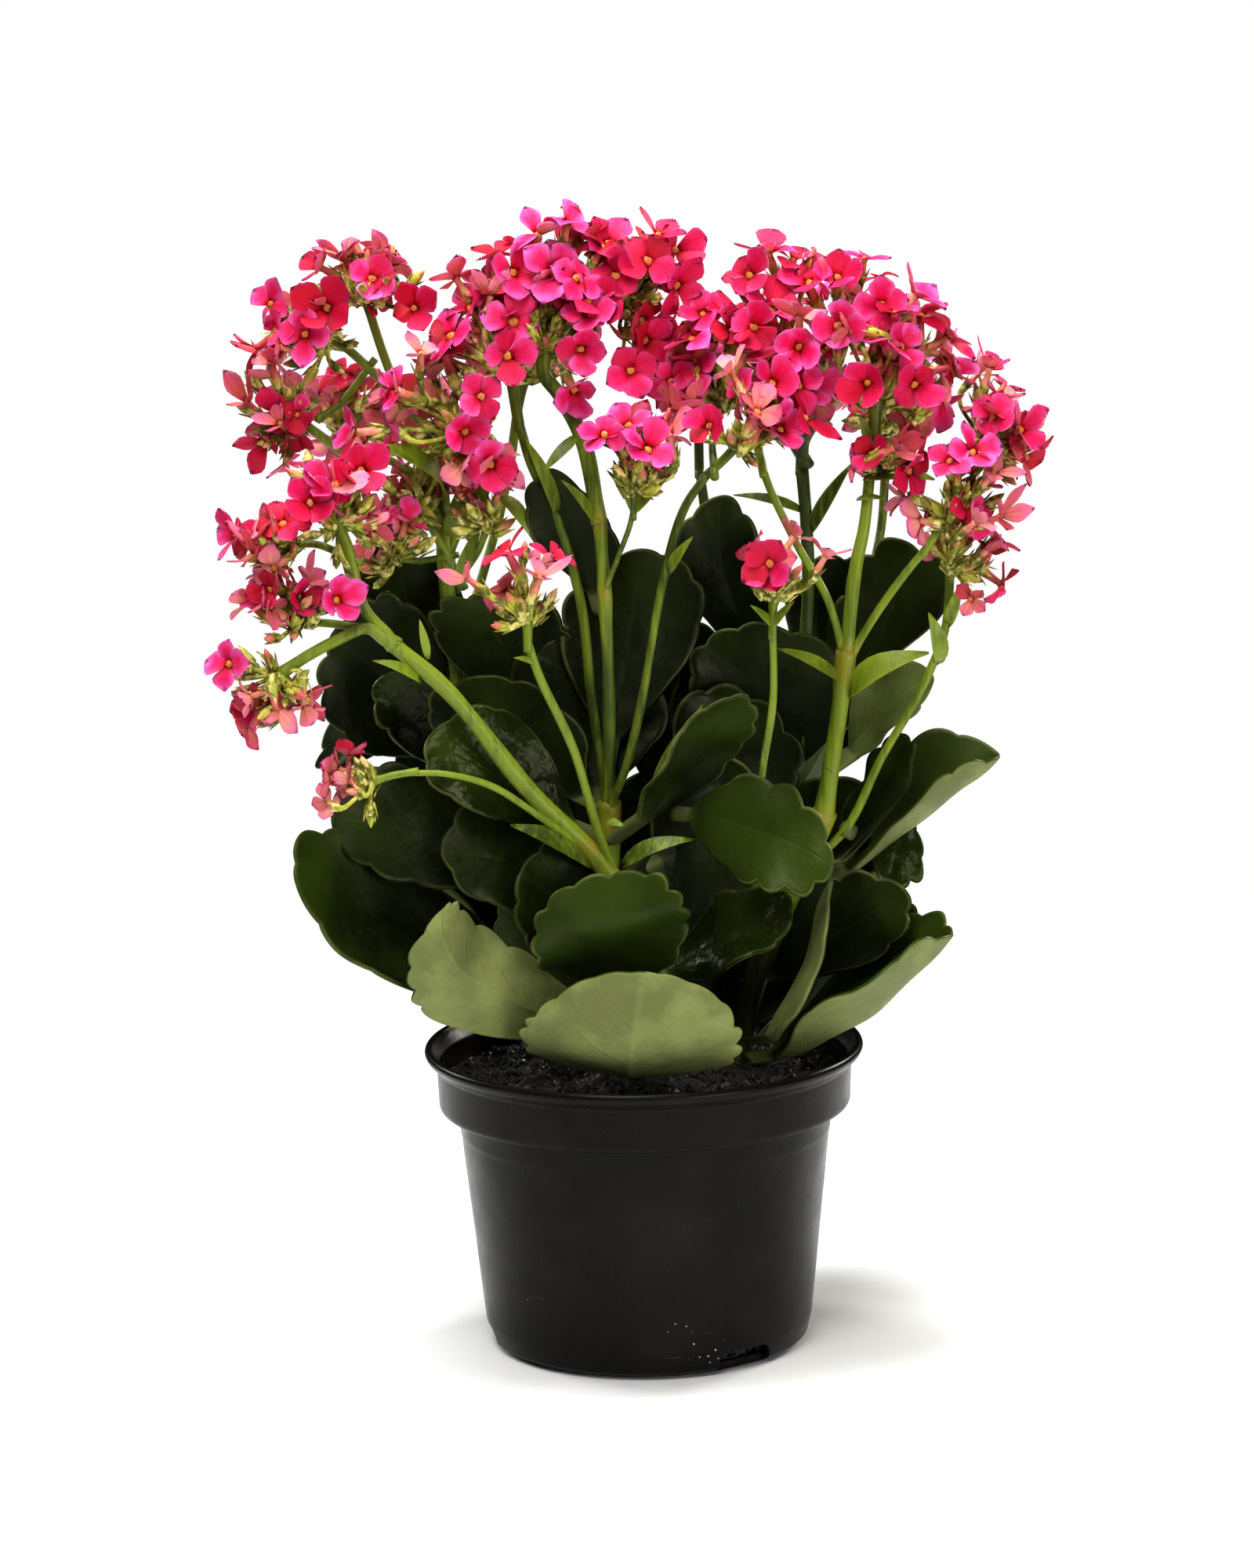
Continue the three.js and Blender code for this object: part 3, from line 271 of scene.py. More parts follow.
# A leaf has the spots of its base, the middle of its midrib, its tip, its left and right edges beside that
# middle and, where its base is away from the stem, the foot of its stalk. Left is seen from the base, with
# the upper side up. Two leaves look different from their bodies: right_mid is smaller, and
# front_inner rises tip up from behind the lowest leaf.
LEAVES = {
    "front_low": [[-2, 81, -14], [-4, 76, -44], [0, 101, -57], [25, 76, -46], [-33, 80, -42]],
    "left_low": [[-6, 84, -14], [-46, 101, -42], [-53, 120, -48], [-38, 112, -34], [-58, 92, -46]],
    "front_inner": [[-6, 96, -18], [-9, 108, -41], [-5, 129, -47], [-29, 111, -38], [12, 113, -42]],
    "right_mid": [[11, 146, -13], [32, 141.5, -38], [52.5, 131, -47], [35, 154.5, -32], [29.5, 127, -41]],
    "right_edge": [[33, 80, -22], [43, 99, -30], [52, 126, -32], [44.6, 98, -45], [41.2, 101, -14],
        [27, 82, -1]],
    "right_low": [[30, 78, -6], [58, 88, -22], [83, 111, -24], [60, 110, 0], [53, 95, -40]],
    "left_long": [[-22, 92, -8], [-62, 111, -16], [-93, 140, -22], [-72, 103, -34], [-55, 127, -6],
        [-3, 93, -11]],
    "front_shade": [[-6, 108, -12], [-18, 119, -22], [-33, 130, -28], [-28, 108, -26], [-14, 136, -14]],
    "right_gloss": [[4, 100, -10], [23, 110, -24], [40, 122, -32], [20, 118, -12], [30, 103, -34],
        [-2.6, 99, -13]],
    "right_shade": [[30, 99, -2], [54, 112, -8], [71, 123, -14], [46, 124, -4], [62, 104, -16]],
    "right_outer": [[50, 126, 4], [78, 146, 2], [97, 160, 4], [67, 160, 16], [75.5, 148, -11],
        [41, 125, -5]],
    "left_dark": [[-14, 130, 0], [-55, 141, -10], [-83, 147, -12], [-58, 127, -14], [-58, 158, 0],
        [-8, 128, 1]],
    "left_inner": [[-12, 126, -5], [-34, 133, -18], [-53, 137, -24], [-34, 119, -24], [-36, 149, -10],
        [-8, 124, 1]],
    "left_streak": [[-14, 140, -6], [-38, 157, -18], [-56, 168, -20], [-45, 148, -22], [-30, 172, -12],
        [-8, 139, 0]],
    "left_scalloped": [[-13, 149, 6], [-32, 166, 0], [-41, 185, 2], [-53, 170, 4], [-16, 172, -2],
        [-8, 147, 1]],
    "left_gloss": [[-46, 154, 16], [-60, 173, 8], [-70, 184, 6], [-65, 168, 8], [-52, 184, 6],
        [-42, 152, 24]],
    "left_outer": [[-56, 176, 30], [-72, 172, 33], [-84, 170, 34], [-80, 160, 30], [-71, 181, 38],
        [-47, 174, 26]],
    "left_far": [[-46, 162, 26], [-65, 182, 24], [-81, 197, 22], [-77, 168, 22], [-57, 202, 22]],
    "left_tall": [[-14, 160, 14], [-33, 188, 14], [-40, 207, 14], [-52, 194, 16], [-17, 196, 14]],
    "left_high": [[-44, 175, 24], [-58, 198, 26], [-62, 216, 26], [-75, 204, 28], [-46, 206, 26]],
    "right_small": [[60, 136, 4], [69, 137, 8], [76, 128, 4], [72, 144, 10], [65, 128, 4], [56, 141, -6]],
    "right_round": [[50, 128, 0], [65, 148, -4], [70, 166, -4], [58, 150, 2], [72, 152, -8],
        [43, 130, -5]],
    "right_lit": [[57, 160, -2], [66, 171, -2], [78, 183, -4], [68, 168, -6], [60, 182, 6],
        [52.4, 158, -9.5]],
    "right_tall": [[46, 176, 28], [67, 195, 24], [69, 219, 22], [54, 202, 28], [83, 202, 22]],
    "centre_fold": [[-2, 142, -10], [14, 160, -14], [28, 179, -20], [6, 163, -22], [23, 160, -10],
        [-8, 139, -2]],
    "centre_tall": [[-8, 160, 4], [-2, 192, 12], [2, 218, 14], [-20, 196, 14], [17, 196, 14]],
    "centre_high": [[41.5, 176, 31], [26, 206, 28], [24, 232, 26], [13, 211, 28], [36, 212, 28]],
    "centre_dark": [[38, 150, 28], [36, 176, 20], [33, 198, 16], [15, 180, 20], [59, 178, 22]],
    "back_left": [[-26, 100, 22], [-54, 110, 42], [-68, 128, 58], [-70, 101, 30], [-40, 120, 54]],
    "back_low": [[-4, 92, 26], [-10, 96, 56], [-12, 104, 80], [-38, 92, 56], [18, 92, 56]],
    "back_right": [[24, 96, 30], [42, 104, 56], [52, 118, 76], [18, 108, 66], [66, 102, 46]],
    "back_outer": [[32, 94, 20], [56, 106, 32], [70, 122, 44], [46, 118, 50], [67, 101, 16],
        [26, 92, 26.5]],
    "back_high": [[-39, 140, 32], [-40, 160, 54], [-42, 180, 68], [-64, 160, 48], [-16, 160, 56],
        [-37.5, 137, 24]],
    "back_tall": [[38, 146, 36], [40, 168, 56], [42, 188, 68], [14, 168, 60], [62, 168, 52],
        [36.7, 141, 28.5]],
}

# Leaves deep in the plant, between the others, where they only show as a dark ground, painted in shade.
INNER_LEAVES = [
    [[0, 100, -2], [12, 116, 2], [22, 138, 2], [-8, 126, 0], [32, 106, 4]],
    [[2, 132, 0], [20, 142, 4], [36, 152, 4], [8, 158, 2], [30, 124, 6]],
    [[-8, 96, 0], [-24, 104, 2], [-40, 112, 4], [-26, 122, 0], [-22, 86, 4]],
    [[24, 82, 6], [20, 96, 12], [16, 112, 14], [-2, 96, 12], [42, 96, 12]],
    [[-4, 82, 4], [-16, 94, 10], [-26, 108, 12], [-34, 92, 10], [2, 100, 12]],
    [[-10, 150, 6], [-14, 172, 12], [-18, 194, 12], [-34, 172, 12], [8, 174, 14]],
    [[-46, 160, 24], [-40, 182, 30], [-34, 204, 30], [-56, 186, 30], [-22, 180, 30]],
    [[38, 150, 24], [24, 170, 30], [14, 188, 30], [14, 160, 30], [36, 184, 30]],
    [[10, 146, 10], [24, 160, 14], [36, 174, 14], [12, 176, 14], [40, 150, 14]],
    [[40, 120, 10], [50, 136, 14], [58, 154, 14], [36, 144, 14], [66, 132, 14]],
    [[34, 84, 10], [46, 100, 16], [56, 118, 18], [34, 110, 16], [60, 92, 18]],
    [[-30, 100, 20], [-44, 116, 24], [-56, 134, 24], [-54, 108, 24], [-32, 128, 26]],
    [[-38, 140, 22], [-52, 152, 26], [-64, 164, 26], [-60, 142, 26], [-44, 166, 28]],
    [[-8, 104, 20], [-16, 132, 26], [-22, 158, 28], [-46, 132, 28], [14, 134, 30]],
    [[6, 108, 20], [10, 134, 28], [14, 160, 30], [-16, 136, 30], [36, 130, 30]],
    [[12, 92, 16], [4, 112, 20], [-2, 128, 22], [-20, 110, 22], [26, 112, 22]],
    [[-10, 204, 12], [-15, 222, 6], [-21, 240, 0], [-27, 224, 6], [-4, 220, 8]],
    [[-8, 100, 12], [-28, 118, 30], [-38, 138, 48], [-28, 132, 18], [-28, 104, 42]],
    [[10, 104, 14], [28, 122, 30], [38, 144, 46], [28, 108, 42], [28, 136, 18]],
    [[-10, 150, 14], [-30, 168, 30], [-42, 188, 44], [-30, 182, 18], [-30, 154, 42]],
    [[38, 150, 22], [52, 168, 36], [60, 186, 48], [52, 154, 48], [52, 182, 24]],
    [[36, 106, 4], [58, 116, 20], [72, 130, 36], [58, 102, 32], [58, 130, 8]],
    [[-26, 102, 6], [-54, 112, 20], [-70, 124, 34], [-54, 126, 8], [-54, 98, 32]],
    [[4, 124, 16], [18, 146, 34], [24, 170, 48], [18, 132, 46], [18, 160, 22]],
    [[-12, 122, 8], [-34, 140, 20], [-48, 160, 30], [-34, 154, 6], [-34, 126, 34]],
    [[44, 178, 30], [54, 196, 34], [62, 214, 34], [42, 206, 34], [70, 190, 34]],
    [[6, 146, 26], [9, 176, 32], [10, 202, 34], [-6, 178, 32], [24, 176, 34]],
]

# How a leaf differs from the plain one: tone 0 paints the dark green of shade and 1 a painted lit green,
# lobes are counted on each side or 0 for as many as fit, and depth, cup, curl and wave are millimetres.
PLAIN_LEAF = {"tone": 0.16, "lobes": 0, "tip": 1.0}
LEAF_RANGES = {"depth": (1.4, 2.7), "cup": (0.4, 3.2), "curl": (-2.0, 3.0), "wave": (1.0, 2.8),
               "widest": (0.98, 1.2), "blunt": (0.44, 0.64)}
LEAF_LOOKS = {
    "front_low": {"tone": 0.9, "lobes": 7, "depth": 2.4, "cup": 3.0, "widest": 1.15, "blunt": 0.38,
        "tip": 0.15},
    "left_low": {"tone": 0.9, "lobes": 5, "depth": 2.0, "cup": 2.0, "curl": 3.0, "widest": 0.72,
        "blunt": 0.45},
    "front_inner": {"tone": 0.6, "lobes": 6, "depth": 2.0, "cup": 2.0, "widest": 1.2, "blunt": 0.4},
    "right_mid": {"tone": 0.72, "lobes": 4, "depth": 3.4, "cup": 2.0, "widest": 1.0, "blunt": 0.4},
    "right_low": {"tone": 1.0, "lobes": 4},
    "right_edge": {"tone": 1.2, "lobes": 4, "depth": 1.0, "wave": 0.4, "widest": 0.85, "blunt": 0.8},
    "right_outer": {"tone": 0.8, "lobes": 3, "depth": 2.4},
    "right_small": {"tone": 0.5},
    "right_gloss": {"tone": 0.3, "lobes": 4, "depth": 1.4, "wave": 2.2},
    "right_lit": {"tone": 0.3, "lobes": 2, "depth": 1.0},
    "centre_fold": {"tone": 0.55, "lobes": 5, "depth": 1.2},
    "left_long": {"tone": 0.3, "lobes": 4, "depth": 2.0},
    "left_streak": {"tone": 0.4},
    "right_tall": {"tone": 0.25},
    "left_high": {"tone": 0.22},
}

# Leaves with a puckered skin that shines
WET_LEAVES = ("right_gloss", "left_gloss", "left_streak", "right_small")

# How thick the stems look, as a share of their lines' radii, how far they grow into a head's stalk, how
# many sides their tubes have and how high their ribs are, as a share
STEM_GIRTH = 0.86
STALK_OVERLAP = 3.4
STEM_SIDES = 14
STALK_SIDES = 12
STEM_RIBS = 0.035

# How much light shows in each stem
STEM_TONES = {"front_left": 0.95, "right": 0.85, "centre": 0.5, "back_right": 0.25, "back_left": 0.8}

# Small entire leaves on the stems: base spot, tip spot, width, bend and tone, which paints how lit each
# one is, from painted shade at 0 to painted light at 1.
BRACTS = {
    "front_left": [
        [[-58, 184, -32], [-71, 190, -36], 3.4, 0.15, 0.7],
        [[-56, 190, -32], [-58, 201, -30], 2.4, 0.05, 0.8],
        [[-12, 132, -20], [-35, 144, -30], 7.0, 0.12, 0.4],
        [[-5, 132, -19], [15, 139, -24], 5.0, 0.2, 0.5], [[-10, 144, -24], [-4, 143, -30], 3.0, 0.1, 0.6],
        [[-27, 188, -41], [-33, 190, -45], 2.0, 0.1, 0.9],
    ],
    "centre": [
        [[0, 229, -20], [12, 241, -25], 5.0, 0.12, 0.8], [[0, 229, -20], [-5, 243, -22], 3.0, 0.1, 0.7],
        [[-10, 226, -8], [-19, 238, -14], 3.4, 0.1, 0.7], [[-20, 228, 4], [-29, 250, -2], 4.0, 0.1, 0.6],
        [[-14, 250, -6], [-24, 240, -10], 3.2, 0.1, 0.7], [[9, 212, -17], [16, 222, -22], 3.2, 0.1, 0.6],
        [[4, 150, -6], [18, 176, -12], 6.0, 0.08, 0.5],
    ],
    "right": [
        [[57, 178, -13], [79, 189, -20], 7.5, 0.22, 1.0], [[55, 182, -13], [38, 191, -18], 4.0, 0.12, 0.8],
        [[60, 231, -14], [68, 231, -20], 2.2, 0.1, 0.8], [[62, 237, -14], [81, 236, -22], 6.0, 0.14, 0.9],
        [[64, 243, -14], [61, 254, -16], 3.4, 0.1, 0.8], [[82, 186, -12], [79, 200, -16], 5.0, 0.15, 0.8],
        [[84, 196, -12], [88, 208, -16], 3.4, 0.1, 0.8], [[37, 197, -38], [31, 203, -40], 2.4, 0.1, 0.8],
        [[37, 197, -38], [43, 204, -41], 2.4, 0.1, 0.8],
    ],
    "back_right": [
        [[47, 222, 26], [59, 241, 20], 4.0, 0.1, 0.3], [[46, 228, 26], [27, 233, 20], 3.4, 0.1, 0.3],
        [[46, 205, 28], [36, 214, 24], 3.4, 0.1, 0.4],
    ],
    "back_left": [
        [[-51, 231, 17], [-68, 248, -14], 11.0, 0.16, 0.85],
        [[-44, 222, 18], [-38, 243, 8], 4.4, 0.08, 1.0], [[-50, 222, 20], [-44, 240, 12], 4.0, 0.1, 1.0],
        [[-35, 234, 8], [-27, 222, 2], 4.2, 0.2, 1.0], [[-48, 208, 22], [-40, 228, 14], 4.0, 0.1, 0.8],
    ],
}

# Buds seen in the front view: spot, length and ripeness, 0 green to 1 pink.
BUDS = {
    "left": [[-83, 222, -36, 6, 0.2], [-80, 215, -38, 6, 0.2], [-87, 248, -30, 6, 0.3],
        [-70, 220, -34, 5, 0.2], [-84, 206, -38, 7, 0.5], [-92, 196, -40, 7, 0.6],
        [-88, 188, -40, 6, 0.3], [-100, 194, -38, 7, 0.8], [-76, 232, -40, 5, 0.3],
        [-93, 243, -28, 8, 0.8], [-75, 212, -36, 5, 0.2], [-95, 228, -30, 6, 0.5]],
    "low_left": [[-76, 161, -43, 5, 0.2], [-79, 155, -44, 6, 0.4], [-77, 164, -41, 5, 0.2]],
    "front_left": [[-31, 212, -40, 5, 0.1], [-29, 222, -38, 6, 0.6], [-38, 205, -42, 6, 0.5]],
    "upper_left": [[-75, 294, 8, 6, 0.3], [-69, 301, 8, 6, 0.6], [-61, 292, 6, 6, 0.2],
        [-54, 295, 8, 6, 0.5], [-87, 266, 4, 6, 0.2], [-99, 257, 4, 6, 0.5], [-91, 264, 4, 6, 0.2],
        [-72, 276, 6, 5, 0.1], [-76, 268, 8, 5, 0.1], [-88, 292, 8, 6, 0.7], [-62, 302, 10, 5, 0.6]],
    "crown_left": [[-20, 299, -4, 5, 0.3], [-24, 284, -12, 5, 0.1]],
    "crown": [[-16, 298, -6, 5, 0.2], [-18, 283, -14, 5, 0.1], [9, 287, -8, 6, 0.2]],
    "front_centre": [[3, 243, -30, 5, 0.1], [-3, 240, -28, 5, 0.3], [7, 240, -28, 5, 0.2]],
    "centre_right": [[20, 256, -14, 5, 0.2], [28, 254, -24, 5, 0.3]],
    "right_mid": [[40, 258, -12, 5, 0.2], [42, 246, -12, 6, 0.4]],
    "back_right": [[50, 299, 6, 8, 0.7], [57, 262, -2, 6, 0.2], [53, 265, 0, 5, 0.2]],
    "right": [[57, 260, -22, 6, 0.2], [80, 268, -12, 5, 0.2], [68, 240, -24, 5, 0.2]],
    "outer_right": [[92, 262, -8, 8, 0.3], [95, 250, -14, 9, 0.1], [88, 232, -24, 6, 0.2],
        [80, 230, -22, 6, 0.2], [94, 233, -22, 6, 0.3], [100, 262, -8, 7, 0.6], [84, 236, -22, 6, 0.2],
        [103, 234, -16, 7, 0.7]],
    "low_right": [[92, 216, -14, 8, 0.2], [88, 210, -14, 7, 0.1], [99, 221, -14, 8, 0.5],
        [83, 212, -12, 6, 0.1], [94, 208, -14, 7, 0.3]],
    "front_right": [[33, 208, -38, 5, 0.1], [38, 207, -40, 5, 0.1], [42, 210, -38, 6, 0.3]],
}

# How a head differs from a plain one: the share of its flowers faded to salmon, how many more flowers and
# buds it has for each that is listed, and how far its buds reach from their node.
PLAIN_HEAD = {"faded": 0.08, "more": 1.3, "buds": 1.6, "reach": 13, "deep": (0, 6)}
HEAD_LOOKS = {
    "left": {"faded": 0.42, "more": 1.1, "buds": 3.5, "reach": 16, "deep": (-3, 6)},
    "low_left": {"faded": 0.7, "buds": 2.5, "deep": (-3, 5)},
    "upper_left": {"faded": 0.42, "more": 1.1, "buds": 3.5, "reach": 17, "deep": (-3, 6)},
    "inner_left": {"faded": 0.35, "buds": 4.0, "reach": 16, "deep": (-3, 6)},
    "low_right": {"faded": 0.5, "buds": 2.0, "reach": 16, "deep": (-3, 5)},
    "outer_right": {"faded": 0.3, "buds": 2.6, "reach": 18, "deep": (-3, 6)},
    "front_left": {"faded": 0.4, "more": 0.4, "buds": 2.0},
    "front_right": {"faded": 0.4, "more": 0.4, "buds": 2.0},
    "front_centre": {"faded": 0.25, "more": 0.5, "buds": 2.5},
    "inner_left_low": {"faded": 0.9, "more": 2.0, "buds": 8.0, "reach": 17, "deep": (-4, 6)},
}

# A head of faded flowers deep between the left ones, where they only show as a ground.
INNER_HEADS = {
    "inner_left_low": [[
        [1.2, [-47, 212, 20], [-52, 222, 17], [-57, 232, 14]],
        [1.0, [-47, 212, 20], [-42, 219, 15], [-39, 226, 10]],
        [0.9, [-50, 218, 18], [-58, 217, 12], [-64, 218, 8]],
    ], [
        [0, [-62, 241, 16, 0.1, 0.9], [-66, 231, 14, 0, 0.9], [-52, 243, 18, 0.1, 0.9]],
        [1, [-36, 236, 6, 0.3, 0.9], [-45, 238, 14, 0, 0.9]],
        [2, [-70, 223, 4, 0.1, 0.9], [-61, 228, 6, 0.2, 0.9]],
    ]],
}

# The pot's own measures that a buyer doesn't change
BAND_BOTTOM = 66.6
BAND_STEP = 1.2
BAND_FLARE = 0.4
BODY_LOW_HEIGHT = 7.0
FOOT_CORNER = 3.0
FOOT_CORNER_HEIGHT = 1.6
LIP_HEIGHT = 5.0
LIP_EDGE = 1.2
SLOT_WIDTH = 17.5
SLOT_HEIGHT = 6.2
SLOT_DEPTH = 14.0
SLOT_ANGLES = (-54, 186, 66)
POT_SIDES = 224
POT_ROUNDING = 0.7
POT_CREASE = 40
PEAT_LEVEL = 75.0
PEAT_CROWN = 77.0
PEAT_GAP = 1.6
PEAT_RINGS = 66
PEAT_SIDES = 198

# Dark and pale crumbs on the peat: how many, their sizes and their tones; and how many fibres
CRUMBS = [(520, (0.5, 1.7), (0, 0.35)), (70, (0.35, 0.9), (0.7, 1.0))]
FIBRES = 110


def props_length(name, description, size):
    return bpy.props.FloatProperty(
        name=name, description=description, default=size * MM, min=0, unit="LENGTH", precision=4)


def props_number(name, description, default):
    return bpy.props.FloatProperty(name=name, description=description, default=default, min=0)


def props_colour(name, description, red, green, blue):
    return bpy.props.FloatVectorProperty(
        name=name, description=description, default=(red, green, blue, 1), size=4, min=0, max=1,
        subtype="COLOR")


class PotMeasures(bpy.types.PropertyGroup):
    """Sizes and colours of the pot and the peat."""
    height: props_length("Height", "From the surface to the top of the lip", 83)
    rim: props_length("Rim radius", "Outer radius of the flared lip", 60)
    band: props_length("Band radius", "Outer radius of the wide band under the lip", 56.3)
    body_top: props_length("Body top radius", "Outer radius just under the band", 51.1)
    body_low: props_length("Body low radius", "Outer radius just above the foot", 44.9)
    foot: props_length("Foot radius", "Radius of the flat base", 40.6)
    wall: props_length("Wall", "Thickness of the moulded plastic", 1.2)
    plastic: props_colour("Plastic", "Colour of the pot", 0.0046, 0.0042, 0.0034)
    dust: props_colour("Dust", "Colour of the dust and splashes on the pot", 0.33, 0.29, 0.22)
    peat: props_colour("Peat", "Colour of damp peat", 0.0065, 0.0036, 0.0022)
    crumb: props_colour("Crumb", "Colour of the pale crumbs and fibres in the peat", 0.16, 0.10, 0.06)


class LeafMeasures(bpy.types.PropertyGroup):
    """Sizes and colours of the leaves."""
    edge: props_length("Edge", "Thickness at a leaf's margin", 1.0)
    flesh: props_length("Flesh", "How much thicker a leaf is beside its midrib", 1.1)
    ridge: props_length("Midrib", "Height of the midrib under the leaf", 0.7)
    stalk: props_length("Stalk", "Half the width of a leaf's stalk", 2.0)
    # The upper side is painted between the next two colours: the dark green of painted shade and the green
    # of a painted lit leaf.
    shade: props_colour("Shade", "Upper side of a dark leaf", 0.0048, 0.0088, 0.0014)
    painted_lit: props_colour("Fresh", "Upper side of a leaf with light in it", 0.036, 0.060, 0.0055)
    under: props_colour("Underside", "Under side of a leaf", 0.205, 0.235, 0.085)
    # Painted highlight: the pale margin line stands for light catching a leaf's edge.
    margin: props_colour("Margin", "Thin line along a leaf's edge", 0.22, 0.24, 0.075)


class StemMeasures(bpy.types.PropertyGroup):
    """Sizes and colours of the stems and their small leaves."""
    swelling: props_number("Swelling", "How much thicker a stem is at a fork, as a share", 0.22)
    bright: props_colour("Bright", "A stem in the light", 0.215, 0.285, 0.018)
    deep: props_colour("Deep", "A stem in the shade", 0.055, 0.088, 0.008)
    fork: props_colour("Fork", "The reddish skin at forks", 0.30, 0.24, 0.014)


class FlowerMeasures(bpy.types.PropertyGroup):
    """Sizes and colours of the flowers and buds."""
    width: props_length("Width", "Across an open flower", 15.4)
    tube: props_length("Tube", "Length of a flower's tube", 9.5)
    sepal: props_length("Sepal", "Length of a sepal", 6.0)
    petal: props_colour("Petal", "Upper side of a petal", 0.80, 0.010, 0.145)
    # The paler edge is partly the petal's own colour and partly a painted highlight, stronger on lit
    # flowers.
    edge: props_colour("Petal edge", "Paler edge of a petal", 0.88, 0.15, 0.52)
    deep: props_colour("Petal base", "A petal near the throat", 0.60, 0.0015, 0.022)
    under: props_colour("Petal underside", "Under side of a petal", 0.86, 0.36, 0.28)
    throat: props_colour("Throat", "The throat and its stamens", 1.0, 0.44, 0.03)
    tube_colour: props_colour("Tube colour", "A flower's tube and a ripe bud", 0.62, 0.16, 0.07)
    green: props_colour("Green", "Sepals, pedicels and young buds", 0.40, 0.42, 0.055)
    # Painted highlight: pale lit patches on sepals and buds.
    cream_highlight: props_colour("Cream", "Pale patches on sepals and buds", 0.86, 0.80, 0.30)


class StageMeasures(bpy.types.PropertyGroup):
    """The plain pale floor and the light."""
    floor: props_colour("Floor", "Colour of the floor", 0.87, 0.885, 0.91)
    reach: props_length("Floor radius", "How far the floor reaches before it fades", 900)
    top: props_number("Top", "Strength of the wide light overhead, in watts", 44)
    key: props_number("Key", "Strength of the light above the front, in watts", 17)
    side: props_number("Side", "Strength of the light from behind on the right, in watts", 16)
    back: props_number("Back", "Strength of the light from behind on the left, in watts", 10)
    fill: props_number("Fill", "Strength of the low light from the front right, in watts", 15)
    ambient: props_number("Ambient", "How bright the surroundings are for the object", 0.04)


def place(spots):
    """True places of spots: each lies on the line from EYE through its point in the upright plane."""
    x, z, depth = np.moveaxis(np.asarray(spots, float)[..., :3], -1, 0)
    away = (depth - EYE[1]) / -EYE[1]
    return zipped(EYE[0] + (x - EYE[0]) * away, depth, EYE[2] - (EYE[2] - z) * away)


def size_of(vectors):
    """The lengths of vectors."""
    return np.linalg.norm(vectors, axis=-1)


def unit(vectors):
    """The same directions with length one."""
    return vectors / np.maximum(size_of(vectors)[..., None], 1e-9)


def walk(line):
    """How far along a line each of its points lies."""
    return np.append(0, np.cumsum(size_of(np.diff(line, axis=0))))


def zipped(*parts):
    """Arrays side by side along a new last axis."""
    return np.stack(parts, axis=-1)


def smooth(value, low, high):
    """0 below low, 1 above high and an S-curve of 3s^2 - 2s^3 between them."""
    share = np.clip((value - low) / (high - low), 0, 1)
    return share * share * (3 - 2 * share)


def lumps(points, size, seed, waves=14):
    """An uneven relief of about -1 to 1: the mean of sine waves of about the given size, in random
    directions and phases."""
    rng = np.random.default_rng(seed)
    ways = unit(rng.normal(size=(waves, 3))) * rng.uniform(0.7, 1.5, (waves, 1)) * 2 * np.pi / size
    phases = rng.uniform(0, 2 * np.pi, waves)
    return np.sin(points @ ways.T + phases).sum(-1) / np.sqrt(waves)


def curve(through, step):
    """Points a step apart on a centripetal Catmull-Rom curve: each stretch blends its four nearest places,
    with the square roots of their distances as knots."""
    through = np.asarray(through, float)
    ends = np.vstack([2 * through[0] - through[1], through, 2 * through[-1] - through[-2]])
    knots = np.append(0, np.cumsum(np.sqrt(size_of(np.diff(ends, axis=0)))))
    at = np.linspace(knots[1], knots[-2], 40 * len(through))
    first = np.clip(np.searchsorted(knots, at, "right") - 2, 0, len(ends) - 4)
    near = [ends[first + i] for i in range(4)]
    knot = [knots[first + i] for i in range(4)]
    for spans in (((0, 1), (1, 2), (2, 3)), ((0, 2), (1, 3)), ((1, 2),)):
        near = [
            near[i] + (near[i + 1] - near[i]) * ((at - knot[low]) / (knot[high] - knot[low]))[:, None]
            for i, (low, high) in enumerate(spans)
        ]
    return spaced(near[0], step)


def spaced(line, step):
    """The same line with its points a step apart along it."""
    walked = walk(line)
    at = np.linspace(0, walked[-1], max(3, int(np.ceil(walked[-1] / step)) + 1))
    return np.stack([np.interp(at, walked, line[:, i]) for i in range(3)], axis=-1)


def bezier(*corners, count):
    """Points on the cubic Bezier curves of four corners each, (n, 3) arrays, as an (n, count, 3) array."""
    t = np.linspace(0, 1, count)[None, :, None]
    a, b, c, d = (np.asarray(corner, float)[:, None, :] for corner in corners)
    return (1 - t) ** 3 * a + 3 * (1 - t) ** 2 * t * b + 3 * (1 - t) * t ** 2 * c + t ** 3 * d


def volume(points, quads, tris):
    """Six times the signed volume inside closed faces: the sum of each triangle's triple product."""
    corners = np.concatenate([quads[:, [0, 1, 2]], quads[:, [0, 2, 3]], tris])
    a, b, c = (points[..., corners[:, i], :] for i in range(3))
    return (a * np.cross(b, c)).sum()


NO_TRIS = np.zeros((0, 3), int)
VALUES = ("along", "across", "under", "rim", "tone")


